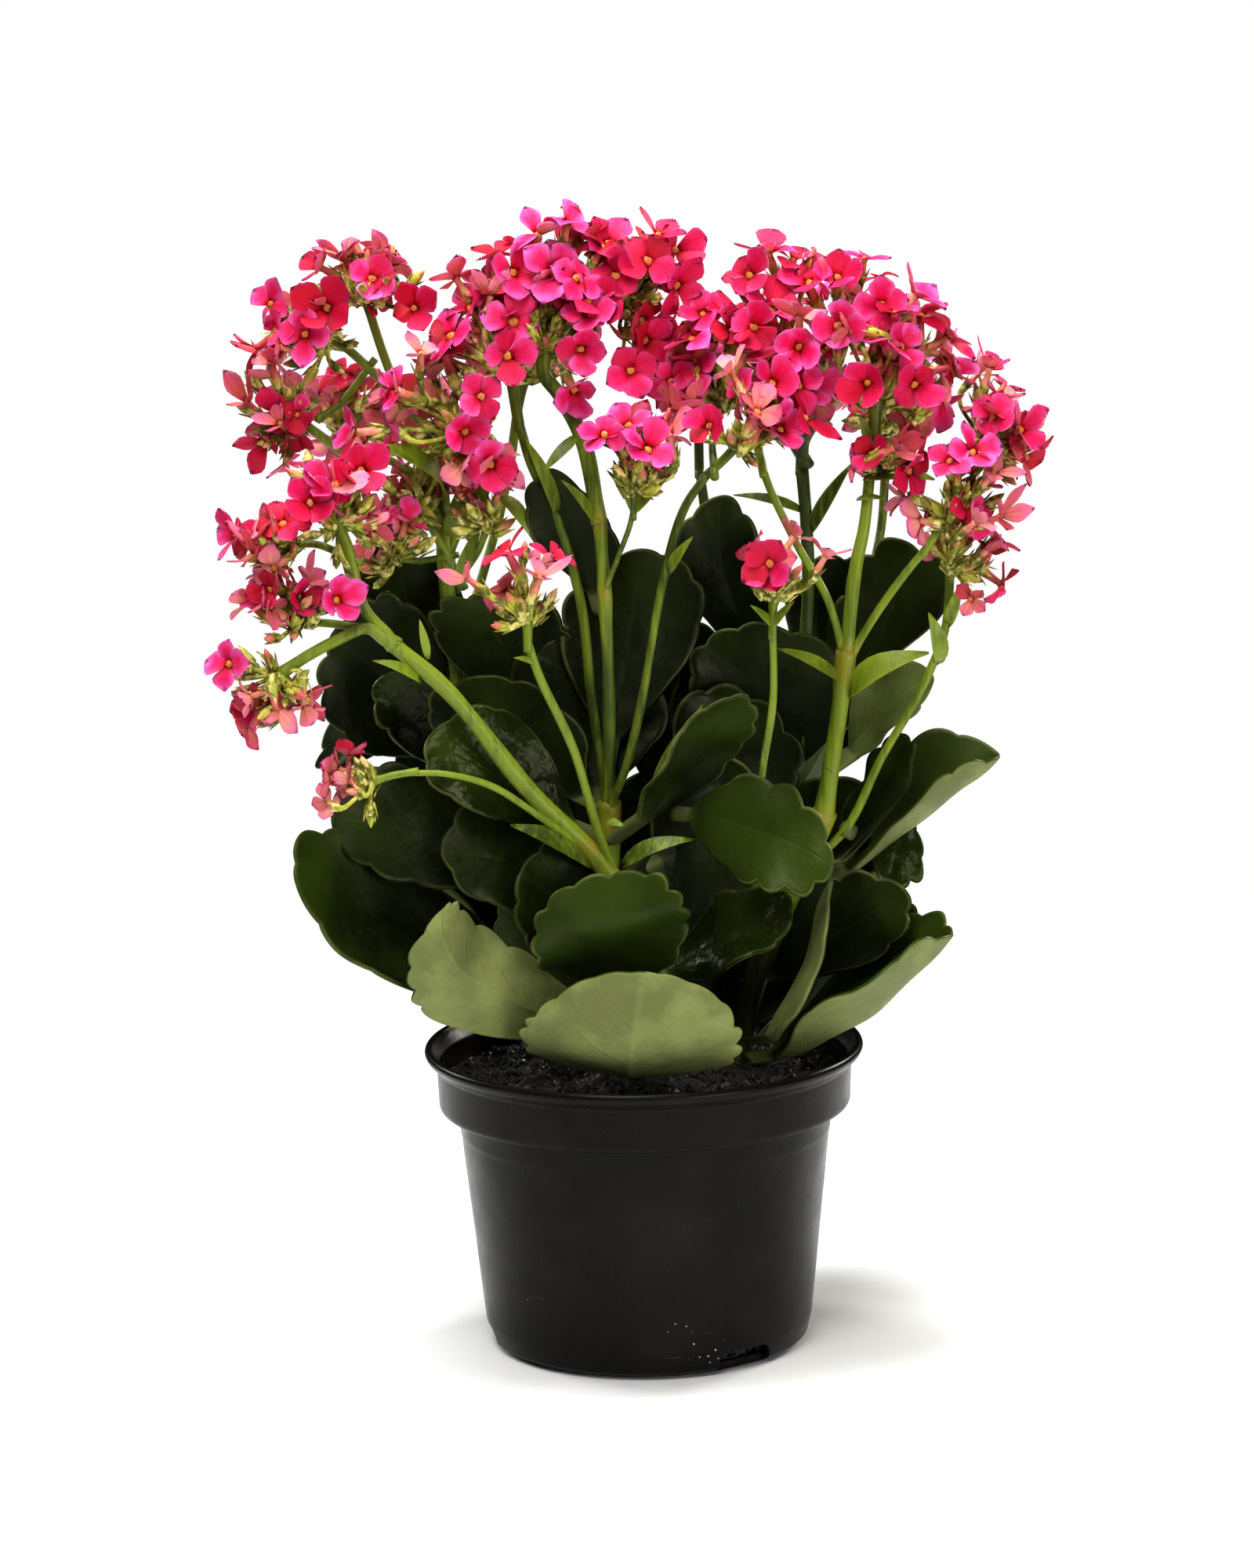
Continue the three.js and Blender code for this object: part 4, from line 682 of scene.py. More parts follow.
class Shell:
    """Closed surfaces gathered as whole arrays, with the values that the finishes read at each point."""

    def __init__(self):
        self.points, self.quads, self.tris, self.count = [], [], [], 0
        self.quad_finish, self.tri_finish = [], []
        self.values = {name: [] for name in VALUES}

    def add(self, points, quads, tris=NO_TRIS, finish=0, **values):
        """Takes n like surfaces: their points, (n, points, 3), and the faces they share, which are turned
        round if they enclose a negative volume. A value is one number or an array that fits the points."""
        points = np.asarray(points, float)
        points = points.reshape((-1,) + points.shape[-2:])
        n, size = points.shape[:2]
        if volume(points, quads, tris) < 0:
            quads, tris = quads[:, ::-1], tris[:, ::-1]
        starts = self.count + np.arange(n)[:, None, None] * size
        self.points.append(points.reshape(-1, 3))
        self.quads.append((quads[None] + starts).reshape(-1, 4))
        self.tris.append((tris[None] + starts).reshape(-1, 3))
        self.quad_finish.append(np.full(n * len(quads), finish))
        self.tri_finish.append(np.full(n * len(tris), finish))
        for name in VALUES:
            self.values[name].append(np.broadcast_to(values.get(name, 0.0), (n, size)).ravel())
        self.count += n * size

    def make(self, name, finishes):
        """The mesh object, in metres. Edges between points whose across is 1 or more stay sharp."""
        quads, tris = np.concatenate(self.quads), np.concatenate(self.tris)
        corners = np.concatenate([quads.ravel(), tris.ravel()]).astype(np.int32)
        starts = np.append(np.arange(len(quads)) * 4, len(quads) * 4 + np.arange(len(tris)) * 3)
        mesh = bpy.data.meshes.new(name)
        mesh.vertices.add(self.count)
        mesh.vertices.foreach_set("co", (np.concatenate(self.points) * MM).astype(np.float32).ravel())
        mesh.loops.add(len(corners))
        mesh.loops.foreach_set("vertex_index", corners)
        mesh.polygons.add(len(starts))
        mesh.polygons.foreach_set("loop_start", starts.astype(np.int32))
        looks = np.concatenate(self.quad_finish + self.tri_finish).astype(np.int32)
        mesh.polygons.foreach_set("material_index", looks)
        mesh.update(calc_edges=True)
        for value in VALUES:
            attribute = mesh.attributes.new(value, "FLOAT", "POINT")
            attribute.data.foreach_set("value", np.concatenate(self.values[value]).astype(np.float32))
        for finish in finishes:
            mesh.materials.append(finish)
        mesh.shade_smooth()
        ends = np.zeros(len(mesh.edges) * 2, np.int32)
        mesh.edges.foreach_get("vertices", ends)
        margin = np.abs(np.concatenate(self.values["across"])) >= 1
        sharp = margin[ends].reshape(-1, 2).all(axis=1)
        mesh.attributes.new("sharp_edge", "BOOLEAN", "EDGE").data.foreach_set("value", sharp)
        piece = bpy.data.objects.new(name, mesh)
        bpy.context.scene.collection.objects.link(piece)
        return piece


def settle(piece, node=None):
    """A finished piece rides on the one body and stands for its node, if it has one."""
    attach(piece, "root")
    if node:
        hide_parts(node)


def wrapped(rows, sides):
    """The faces of a closed tube: quads from ring to ring and a fan to a last point at each end."""
    ring, side = np.meshgrid(np.arange(rows - 1), np.arange(sides), indexing="ij")
    near, far = ring * sides + side, ring * sides + (side + 1) % sides
    quads = zipped(near, far, far + sides, near + sides).reshape(-1, 4)
    side = np.arange(sides)
    after = (side + 1) % sides
    top = (rows - 1) * sides
    start = zipped(after, side, np.full(sides, rows * sides))
    end = zipped(side + top, after + top, np.full(sides, rows * sides + 1))
    return quads, np.concatenate([start, end])


def tubes(shell, paths, radii, sides, finish=0, ribs=0.0, **values):
    """Round tubes: at each place of a path, a ring of points stands across its direction, and three ribs
    raise its radius by their share. Paths are (n, places, 3) and radii and values are (n, places)."""
    paths = np.asarray(paths, float).reshape((-1,) + np.shape(paths)[-2:])
    n, rows = paths.shape[:2]
    ways = unit(np.gradient(paths, axis=1))
    plain = np.eye(3)[np.abs(ways).max(axis=1).argmin(axis=-1)][:, None, :]
    side = unit(np.cross(ways, plain))
    across = np.cross(ways, side)
    turn = np.arange(sides) / sides * 2 * np.pi
    reach = np.broadcast_to(radii, (n, rows))[..., None, None] * (1 + ribs * np.cos(3 * turn))[:, None]
    ring = np.cos(turn)[:, None] * side[:, :, None] + np.sin(turn)[:, None] * across[:, :, None]
    body = (paths[:, :, None] + reach * ring).reshape(n, rows * sides, 3)
    tip = np.broadcast_to(radii, (n, rows))[:, -1:, None] * 0.5 * ways[:, -1:]
    points = np.concatenate([body, paths[:, :1], paths[:, -1:] + tip], axis=1)
    spread = {}
    for name, value in values.items():
        value = np.broadcast_to(value, (n, rows))
        ends = zipped(value[:, 0], value[:, -1])
        spread[name] = np.concatenate([np.repeat(value, sides, axis=1), ends], axis=1)
    shell.add(points, *wrapped(rows, sides), finish=finish, **spread)


def lens(rows, columns):
    """A closed two-sided blade: u runs along it, v from -1 to 1 across, and layer is 1 above and -1 below,
    with the margin's points shared by both sides. Returns u, v, layer and quads."""
    u, v = np.meshgrid(np.linspace(0, 1, rows), np.linspace(-1, 1, columns), indexing="ij")
    inner = np.zeros((rows, columns), bool)
    inner[1:-1, 1:-1] = True
    above = np.arange(rows * columns).reshape(rows, columns)
    below = above.copy()
    below[inner] = rows * columns + np.arange(inner.sum())
    layer = np.append(np.where(inner, 1, 0).ravel(), np.full(inner.sum(), -1))

    def faces(grid):
        return zipped(grid[:-1, :-1], grid[1:, :-1], grid[1:, 1:], grid[:-1, 1:]).reshape(-1, 4)

    quads = np.concatenate([faces(above), faces(below)[:, ::-1]])
    return np.append(u, u[inner]), np.append(v, v[inner]), layer, quads


BRACT_UP = np.array([0.1, -0.75, 0.65])


def bracts(shell, base, tip, width, bend, tone, finish=0):
    """Small entire leaves: a blade as wide as sin(pi u^0.8)^0.8 from base to tip, arched by 4u(1-u) of its
    bend and cupped by v^2. All arguments are arrays of n."""
    base, tip = np.asarray(base, float), np.asarray(tip, float)
    u, v, layer, quads = lens(8, 5)
    reach = size_of(tip - base)[:, None, None]
    way = unit(tip - base)
    side = unit(np.cross(way, BRACT_UP))
    lift = np.cross(side, way)
    half = np.maximum(np.sin(np.pi * np.clip(0.06 + 0.94 * u, 0, 1) ** 0.8) ** 0.8, 0.1)
    half = half[None] * np.asarray(width, float)[:, None] / 2
    rise = np.asarray(bend, float)[:, None] * reach[..., 0] * 4 * u * (1 - u) + 0.22 * half * v ** 2
    rise = rise + layer * 0.45 * (1 - 0.6 * u)
    points = base[:, None] + way[:, None] * (reach * u[None, :, None])
    points = points + side[:, None] * (half * v)[..., None] + lift[:, None] * rise[..., None]
    shell.add(points, quads, finish=finish, along=u, across=v, under=(layer < 0) * 1.0,
              rim=0.25 * np.abs(v) ** 6, tone=np.asarray(tone, float)[:, None])


def stem_lines(shell, lines, paths, swelling, tone):
    """Tubes along a stem's lines. A line thins by a twelfth along its way and swells as a bell curve
    around every fork, where rim says how near a fork is."""
    for (radius, *_), path in zip(lines, paths):
        near = np.zeros(len(path))
        for other in paths:
            near = near + np.exp(-(size_of(path - other[0]) / (1.6 * radius + 1.5)) ** 2)
        walked = np.linspace(0, 1, len(path))
        body = STEM_GIRTH * radius * (1 - 0.08 * walked) * (1 + swelling * np.minimum(near, 1.3))
        body = body + 0.06 * radius * lumps(path, 26, 5, 6)
        tubes(shell, path[None], body[None], STEM_SIDES, ribs=STEM_RIBS, along=walked,
              rim=np.minimum(near, 1), tone=tone)


LEAF_ROWS = 84
INNER_ROWS = 54
MARGIN_STEPS = 600
FOLD_ROUND = 3.5
STALK_START = 0.1
LEAF_COLUMNS = np.array([0, 0.07, 0.18, 0.34, 0.54, 0.75, 0.91, 1.0])


def leaf_outline(along, look):
    """Half width of a blade as a share of its widest: sin(pi b^widest)^blunt, narrowed towards its base.
    The first power is above 1 where the blade is widest past its middle."""
    rise = np.sin(np.pi * along ** look["widest"]) ** look["blunt"]
    return rise * (0.74 + 0.26 * smooth(along, 0, 0.3))


def crenations(along, count, depth, tip, seed):
    """Outward reach of rounded lobes along a margin. They start a third of the way up, lean towards the
    tip and end with half a lobe at the tip, as deep there as the tip's share says; each is the sine of
    pi s^1.2 to the power 0.7, less a half."""
    rng = np.random.default_rng(seed)
    start = rng.uniform(0.26, 0.36)
    lengths = rng.uniform(0.75, 1.25, count)
    lengths[-1] *= 0.55
    ends = start + (1 - start) * np.append(0, np.cumsum(lengths)) / lengths.sum()
    which = np.clip(np.searchsorted(ends, along, "right") - 1, 0, count - 1)
    share = np.clip((along - ends[which]) / (ends[which + 1] - ends[which]), 0, 1)
    share = np.where(which == count - 1, share * 0.55, share)
    heights = depth * rng.uniform(0.75, 1.15, count)
    heights[0] *= 0.55
    heights[-1] = depth
    heights = heights * (1 + (tip - 1) * smooth(ends[1:], 0.6, 0.85))
    lobe = np.sin(np.pi * share ** 1.2) ** 0.7 - 0.5
    before = -0.5 * heights[0] * smooth(along, start - 0.12, start)
    return np.where(along > start, heights[which] * lobe, before)


class LeafForm:
    """A leaf's middle surface as a function of x, along its midrib, and y, across it to the left."""

    def __init__(self, spots, look, seed):
        base, middle, tip, left, right = place(spots[:5])
        self.base, self.bend, self.tip = base, 2 * middle - (base + tip) / 2, tip
        t = np.linspace(0, 1, 60)[:, None]
        self.length = size_of(np.diff(self.midrib(t), axis=0)).sum()
        self.wide = {1: np.linalg.norm(left - middle), -1: np.linalg.norm(right - middle)}
        ways = [unit(left - middle), unit(right - middle)]
        self.spread, self.fold = (ways[0] - ways[1]) / 2, (ways[0] + ways[1]) / 2
        self.up = unit(np.cross(tip - base, self.spread))
        self.look, self.seed = look, seed

    def midrib(self, t):
        """The quadratic Bezier curve that passes the middle of the midrib halfway."""
        return (1 - t) ** 2 * self.base + 2 * t * (1 - t) * self.bend + t ** 2 * self.tip

    def at(self, x, y):
        """The midrib's place plus y along the half blades, which meet in a rounded fold, the root of
        y^2 + c^2 less c, plus a relief: a cup y^2, a curl of the tip, waves of the margin and lumps."""
        share = x / self.length
        even = np.sqrt(y ** 2 + FOLD_ROUND ** 2) - FOLD_ROUND
        out = np.abs(y) / np.where(y > 0, self.wide[1], self.wide[-1])
        relief = self.look["cup"] * out ** 2 * smooth(share, 0.05, 0.4)
        relief = relief + self.look["curl"] * smooth(share, 0.55, 1.15) ** 2
        phase = self.seed * 1.7 + np.where(y > 0, 0, 2.1)
        relief = relief + self.look["wave"] * out ** 2 * np.sin(2 * np.pi * 1.6 * share + phase)
        flat = zipped(x, y, 0 * x)
        relief = relief + 0.45 * lumps(flat, 22, self.seed, 8) * smooth(share, 0, 0.3)
        place_on = self.midrib(share[..., None]) + self.spread * y[..., None] + self.fold * even[..., None]
        return place_on + self.up * relief[..., None]

    def normal(self, x, y):
        """The upward normal, from differences of the surface along x and y."""
        step = 0.4
        ahead = self.at(x + step, y) - self.at(x - step, y)
        left = self.at(x, y + step) - self.at(x, y - step)
        return unit(np.cross(ahead, left))


def leaf(name, spots, look, sizes, finish, seed, count=LEAF_ROWS):
    """A fleshy leaf. Rows run from its stalk to its tip, spaced evenly along the margin, and each row is a
    ring: over the upper side, round the edge and back under. Near the tip the rows fan out."""
    form = LeafForm(spots, look, seed)
    stalk, edge = sizes.stalk / MM, sizes.edge / MM
    b = 1 - (1 - np.linspace(0, 1, MARGIN_STEPS)) ** 2
    mean = (form.wide[1] + form.wide[-1]) / 2
    x = form.length * (STALK_START + (1 - STALK_START) * b)
    y = mean * leaf_outline(b, look)
    margin = np.append(0, np.cumsum(np.hypot(np.diff(x), np.diff(y))))
    even = np.linspace(0, margin[-1], count)
    b, x, y = (np.interp(even, margin, line) for line in (b, x, y))
    out = zipped(-np.gradient(y), np.gradient(x))
    out[-1] = (1, 0)
    out = unit(out)
    along = np.linspace(0, 1, count)
    lobes = look["lobes"] or int(np.clip(round(0.66 * margin[-1] / 12.5), 3, 6))
    spine = x - 0.15 * form.length * b ** 4
    narrow = smooth(b, 0.02, 0.3)
    halves = []
    for side in (1, -1):
        reach = crenations(along, lobes, look["depth"], look["tip"], seed * 2 + side)
        reach = np.where(along == 1, look["depth"] * look["tip"] / 2, reach)
        own = np.sqrt((y * form.wide[side] / mean) ** 2 + (stalk * (1 - b)) ** 2)
        edge_x, edge_y = x + out[:, 0] * reach, own + out[:, 1] * reach
        edge_y[-1] = 0
        xs = spine[:, None] + (edge_x - spine)[:, None] * LEAF_COLUMNS
        ys = side * edge_y[:, None] * LEAF_COLUMNS
        halves.append(np.stack([xs, ys]))
    xs, ys = np.concatenate([halves[0][..., ::-1], halves[1][..., 1:]], axis=2)
    v = np.append(LEAF_COLUMNS[::-1], LEAF_COLUMNS[1:])
    middle, normal = form.at(xs, ys), form.normal(xs, ys)
    flesh = sizes.flesh / MM * (1 - v ** 2) * (0.35 + 0.65 * (1 - b[:, None] ** 3))
    thick = (edge + flesh + 1.3 * (1 - narrow[:, None])) / 2
    groove = 0.5 * np.exp(-(ys / 1.8) ** 2) * (1 - b[:, None]) * narrow[:, None]
    ridge = sizes.ridge / MM * np.exp(-(ys / 2.2) ** 2) * (1 - 0.85 * b[:, None])
    over = middle + normal * (thick - groove)[..., None]
    beneath = middle - normal * (thick + ridge)[..., None]
    rounds = []
    for column, side in ((0, 1), (-1, -1)):
        step = 0.3
        beyond = form.at(xs[:, column] + out[:, 0] * step, ys[:, column] + side * out[:, 1] * step)
        rounds.append(middle[:, column] + unit(beyond - middle[:, column]) * edge * 0.45)
    rings = np.concatenate([over, rounds[1][:, None], beneath[:, ::-1], rounds[0][:, None]], axis=1)
    last = len(v) - 1
    first = form.midrib(np.array([STALK_START]))
    if len(spots) > 5:
        shift, steps = place(spots[5]) - first, np.linspace(1.06, 0, 9)[:-1]
    else:
        shift, steps = form.base - first - unit(form.bend - form.base) * 2.5, np.linspace(1, 0, 5)[:-1]
    rings = np.concatenate([rings[:1] + shift * steps[:, None, None], rings])
    many, size = rings.shape[:2]
    index = np.arange(many * size).reshape(many, size)
    back = np.arange(last + 1)[::-1]
    twin = np.concatenate([back, [size - 1], last + 2 + back, [last + 1]])
    index[-1] = np.minimum(index[-1], index[-1][twin])
    quads = zipped(index[:-1], np.roll(index[:-1], -1, 1), np.roll(index[1:], -1, 1), index[1:])
    over_first, under_first = index[0, :last + 1], index[0, last + 2:2 * last + 3][::-1]
    cap = zipped(under_first[:-1], under_first[1:], over_first[1:], over_first[:-1])
    ends = np.array([[under_first[-1], index[0, last + 1], over_first[-1]],
                     [over_first[0], index[0, -1], under_first[0]]])
    used, compact = np.unique(np.append(quads.ravel(), cap.ravel()), return_inverse=True)
    compact = compact.reshape(-1, 4)
    ends = np.searchsorted(used, ends)
    far = np.minimum(*(np.hypot(xs - xs[:, [end]], ys - ys[:, [end]]) for end in (0, -1)))
    rim = np.exp(-far / 0.5)
    share = np.clip(ys / np.where(ys > 0, form.wide[1], form.wide[-1]), -0.99, 0.99)
    one = np.ones((count, 1))
    lined = {
        "along": np.broadcast_to(np.append(0 * steps, x / form.length)[:, None], (many, size)),
        "across": ring_values(share, 0.99 * one, steps),
        "under": ring_values(np.zeros_like(ys), 0.5 * one, steps, np.ones_like(ys)),
        "rim": ring_values(rim, one, steps),
    }
    lined = {key: value.ravel()[used] for key, value in lined.items()}
    shell = Shell()
    shell.add(rings.reshape(1, -1, 3)[:, used], compact, ends, tone=look["tone"], **lined)
    return shell.make(name, [finish])


def ring_values(over, edge, steps, beneath=None):
    """The values of a leaf's rings, for its upper side, its edge and its under side, with the first ring's
    repeated down the stalk."""
    beneath = over if beneath is None else beneath
    rings = np.concatenate([over, -edge, beneath[:, ::-1], edge], axis=1)
    return np.concatenate([np.repeat(rings[:1], len(steps), axis=0), rings])


def turned(profile, sides):
    """Points and faces of a solid of revolution: the profile's radius and height carried round the Z axis,
    with its first and last points on the axis."""
    turn = np.arange(sides) / sides * 2 * np.pi
    radius, height = profile[1:-1, 0][:, None], profile[1:-1, 1][:, None]
    rings = zipped(radius * np.cos(turn), radius * np.sin(turn), height + 0 * turn)
    poles = np.array([[0, 0, profile[0, 1]], [0, 0, profile[-1, 1]]])
    return np.concatenate([rings.reshape(-1, 3), poles]), *wrapped(len(profile) - 2, sides)


def rounded(corners, size):
    """A profile whose corners are rounded: each becomes the quadratic Bezier curve between the points that
    lie size away from it on its two sides, or at most 0.45 of the way."""
    corners = np.asarray(corners, float)
    inner = corners[1:-1]
    ways = corners[:-2] - inner, corners[2:] - inner
    a, c = (inner + unit(way) * np.minimum(size, 0.45 * size_of(way))[:, None] for way in ways)
    t = np.linspace(0, 1, 5)[:, None, None]
    arcs = (1 - t) ** 2 * a + 2 * t * (1 - t) * inner + t ** 2 * c
    return np.concatenate([corners[:1], arcs.transpose(1, 0, 2).reshape(-1, 2), corners[-1:]])


def pot_profile(sizes):
    """The pot's section from the middle of its base, up its outside, over the lip and down its inside."""
    high, wall = sizes.height / MM, sizes.wall / MM
    rim, band, foot = sizes.rim / MM, sizes.band / MM, sizes.foot / MM
    top, low = sizes.body_top / MM, sizes.body_low / MM
    lip = band + BAND_FLARE
    crease = BAND_BOTTOM - 7.5
    share = (crease - BODY_LOW_HEIGHT) / (BAND_BOTTOM - BAND_STEP - BODY_LOW_HEIGHT)
    at_crease = low + (top - low) * share
    return [
        [0, 0.9], [foot - 7, 0.9], [foot - 5.5, 0], [foot, 0], [foot + FOOT_CORNER, FOOT_CORNER_HEIGHT],
        [low, BODY_LOW_HEIGHT], [at_crease, crease - 0.5], [at_crease + 0.28, crease + 0.5],
        [top, BAND_BOTTOM - BAND_STEP], [band - 0.5, BAND_BOTTOM - 0.5], [band, BAND_BOTTOM + 0.6],
        [lip, high - LIP_HEIGHT], [rim - 0.5, high - LIP_EDGE - 1.4], [rim, high - LIP_EDGE],
        [rim - LIP_EDGE / 2, high], [rim - 1.5 * LIP_EDGE, high], [rim - 2.1 * LIP_EDGE, high - 1.4],
        [lip - wall, high - LIP_HEIGHT + wall / 2], [band - wall, BAND_BOTTOM + BAND_STEP],
        [top - wall, BAND_BOTTOM], [low - wall, BODY_LOW_HEIGHT + BAND_FLARE],
        [foot + FOOT_CORNER - wall, wall + FOOT_CORNER_HEIGHT / 2], [foot - wall, 2.1], [0, 2.1],
    ]


def slot_block(angle, sizes):
    """The rounded block that cuts one drainage slot through the pot's lower corner: an arch in the section
    across its way, as wide as 1 - z^4 at its top, carried from inside the foot to past the wall."""
    low, high = sizes.foot / MM - 1, sizes.foot / MM + SLOT_DEPTH
    turn = np.linspace(0, np.pi, 17)
    arch = zipped(np.sign(np.cos(turn)) * np.abs(np.cos(turn)) ** 0.35 * SLOT_WIDTH / 2,
                     np.abs(np.sin(turn)) ** 0.6 * SLOT_HEIGHT)
    arch = np.concatenate([[[SLOT_WIDTH / 2, -3]], arch, [[-SLOT_WIDTH / 2, -3]]])
    ends = [np.column_stack([np.full(len(arch), x), arch]) for x in (low, high)]
    middle = np.array([[low, 0, 1], [high, 0, 1]])
    points = np.concatenate(ends + [middle])
    way = np.radians(angle)
    spun = zipped(points[:, 0] * np.cos(way) - points[:, 1] * np.sin(way),
                     points[:, 0] * np.sin(way) + points[:, 1] * np.cos(way), points[:, 2])
    shell = Shell()
    shell.add(spun, *wrapped(2, len(arch)))
    return shell.make("slot_block", [])


# A petal's half widths from base to tip, and how much its pose, length, curl and tone differ
PETAL_HALF_WIDTHS = [0.95, 2.15, 3.1, 3.65, 3.2, 1.85, 0.12]
PETAL_SPREADS = {"pitch": 0.29, "lean": 0.28, "long": 0.09, "shift": 0.15, "curl": 1.2, "tone": 0.2}


def petals(shell, centre, frames, share, cup, tone, faded, rng):
    """Four petals round each throat. A petal's half width follows seven listed widths to a short point.
    It rises like the sine of pi u, its edges lift by v^2, it leans so that each petal laps the next, the
    cup lifts it by the 1.6th power of its reach and its own curl bends its end by the 3rd power. Pitch,
    lean, curl, length, place and tone differ at random."""
    u, v, layer, quads = lens(7, 5)
    n = len(centre)
    spreads = PETAL_SPREADS.values()
    pitch, lean, long, shift, curl, own = (
        np.clip(rng.normal(size=(n, 4, 1)), -1.8, 1.8) * spread for spread in spreads)
    half = np.interp(u, np.linspace(0, 1, 7), PETAL_HALF_WIDTHS) * (1 + 0.5 * long)
    reach = (0.6 + 7.4 * u) * (1 + long)
    side = half * v * (1 - 0.2 * (faded > 0))[:, None, None]
    height = 0.7 * np.sin(np.pi * u ** 0.8) + 0.13 * layer - 0.5 * (1 - u) ** 3 + 0.7 * v ** 2 * u
    height = height + (0.6 * v - 0.4 * np.exp(-(v / 0.3) ** 2)) * np.sin(np.pi * u)
    height = height + pitch * reach + lean * side + cup[:, None, None] * (reach / 7.8) ** 1.6
    height = height - (0.7 + curl) * (reach / 7.8) ** 3
    reach = reach * (1 - 0.045 * np.abs(cup)[:, None, None] * u)
    turn = np.arange(4)[:, None] * np.pi / 2 + shift
    local = zipped(reach * np.cos(turn) - side * np.sin(turn), reach * np.sin(turn) + side * np.cos(turn),
                      height).reshape(n, -1, 3)
    faces = fourfold(quads, len(u))
    back = np.maximum(np.tile(layer < 0, 4)[None] * 1.0, faded[:, None])
    shades = np.repeat(np.clip(tone[:, None] + own[..., 0], 0, 1.3), len(u), axis=1)
    shell.add(stand(local, centre, frames, share), faces, finish=PETALS, tone=shades,
              along=np.tile(u, 4), across=np.tile(v, 4), under=back)


def fourfold(quads, size):
    """The faces of four copies of a blade with that many points."""
    return (quads[None] + np.arange(4)[:, None, None] * size).reshape(-1, 4)


def sepal_template(spread, length, width):
    """Four narrow sepals round a tube's foot, opening by the given spread over their length."""
    u, v, layer, quads = lens(5, 3)
    half = width * np.interp(u, [0, 0.3, 0.7, 1], [0.8, 1, 0.6, 0.08]) / 2
    reach = 0.9 + spread * u ** 1.3 + 0.22 * (layer + 1)
    quarter = (np.arange(4) + 0.5) * np.pi / 2
    x = reach * np.cos(quarter)[:, None] - half * v * np.sin(quarter)[:, None]
    y = reach * np.sin(quarter)[:, None] + half * v * np.cos(quarter)[:, None]
    points = zipped(x, y, np.broadcast_to(length * u, x.shape)).reshape(-1, 3)
    return points, fourfold(quads, len(u)), np.tile(u, 4), np.tile(v, 4)


def stand(local, places, frames, scale):
    """Copies of a template: its points in the frames' axes, (n, 3, 3), scaled and moved to the places."""
    local = np.broadcast_to(local, (len(places),) + local.shape[-2:])
    return places[:, None] + np.einsum("nvi,nij->nvj", local * scale[:, None, None], frames)


def stretched(points, factors):
    """Copies of a template, each stretched along its axis by a factor."""
    one = np.ones(len(factors))
    return points * zipped(one, one, factors)[:, None]


def frames_of(facing, spin):
    """Three axes for each facing direction, turned about it by the spin in radians."""
    side = np.cross(np.array([1.0, 0, 0]), facing)
    side = unit(np.where(np.linalg.norm(side, axis=-1, keepdims=True) < 0.1, [0, 1.0, 0], side))
    across = np.cross(facing, side)
    cos, sin = np.cos(spin)[:, None], np.sin(spin)[:, None]
    return np.stack([side * cos + across * sin, across * cos - side * sin, facing], axis=1)


# A head's finishes by number, the width across petals of share 1, and the throat's parts
PETALS, GREENS, STALKS = 0, 1, 2
PETALS_ACROSS = 15
THROAT = [[0, -1.6], [0.5, -1.5], [0.8, -0.1], [0.65, 0.0], [0, -0.9]]
STAMEN = [[0, -0.4], [0.2, -0.2], [0.18, 0.2], [0, 0.4]]


def seen_flowers(node, flowers, rng):
    """Centre, facing and share of the flowers that the table lists. They face away from their node, the
    more they are turned the less so and the more towards the front (a negative turn: the back) and up."""
    rows = [(spot + [1])[:5] for spot in flowers]
    centre, turn = place(rows), np.array([row[3] for row in rows])
    share = np.minimum([row[4] for row in rows], 1.15)
    facing = unit(centre - node) * (1 - np.abs(turn))[:, None]
    facing = unit(facing + zipped(0 * turn, -turn, 0.15 * np.abs(turn)))
    return centre, unit(facing + rng.normal(size=centre.shape) * 0.22), share


def more_flowers(node, centre, share, count, deep, rng):
    """Flowers behind and between those seen: out of the node in ways near theirs, set a little back."""
    pick = rng.integers(0, len(centre), count)
    apart = centre[pick] - node
    ways = unit(unit(apart) + rng.normal(size=(count, 3)) * 0.36 + [0, 0.15, 0])
    reach = size_of(apart)[:, None] * rng.uniform(0.66, 0.96, (count, 1))
    spots = node + ways * reach + [0, 1, 0] * rng.uniform(*deep, (count, 1))
    facing = unit(ways + rng.normal(size=(count, 3)) * 0.4)
    return spots, facing, share[pick] * rng.uniform(0.82, 1.0, count)


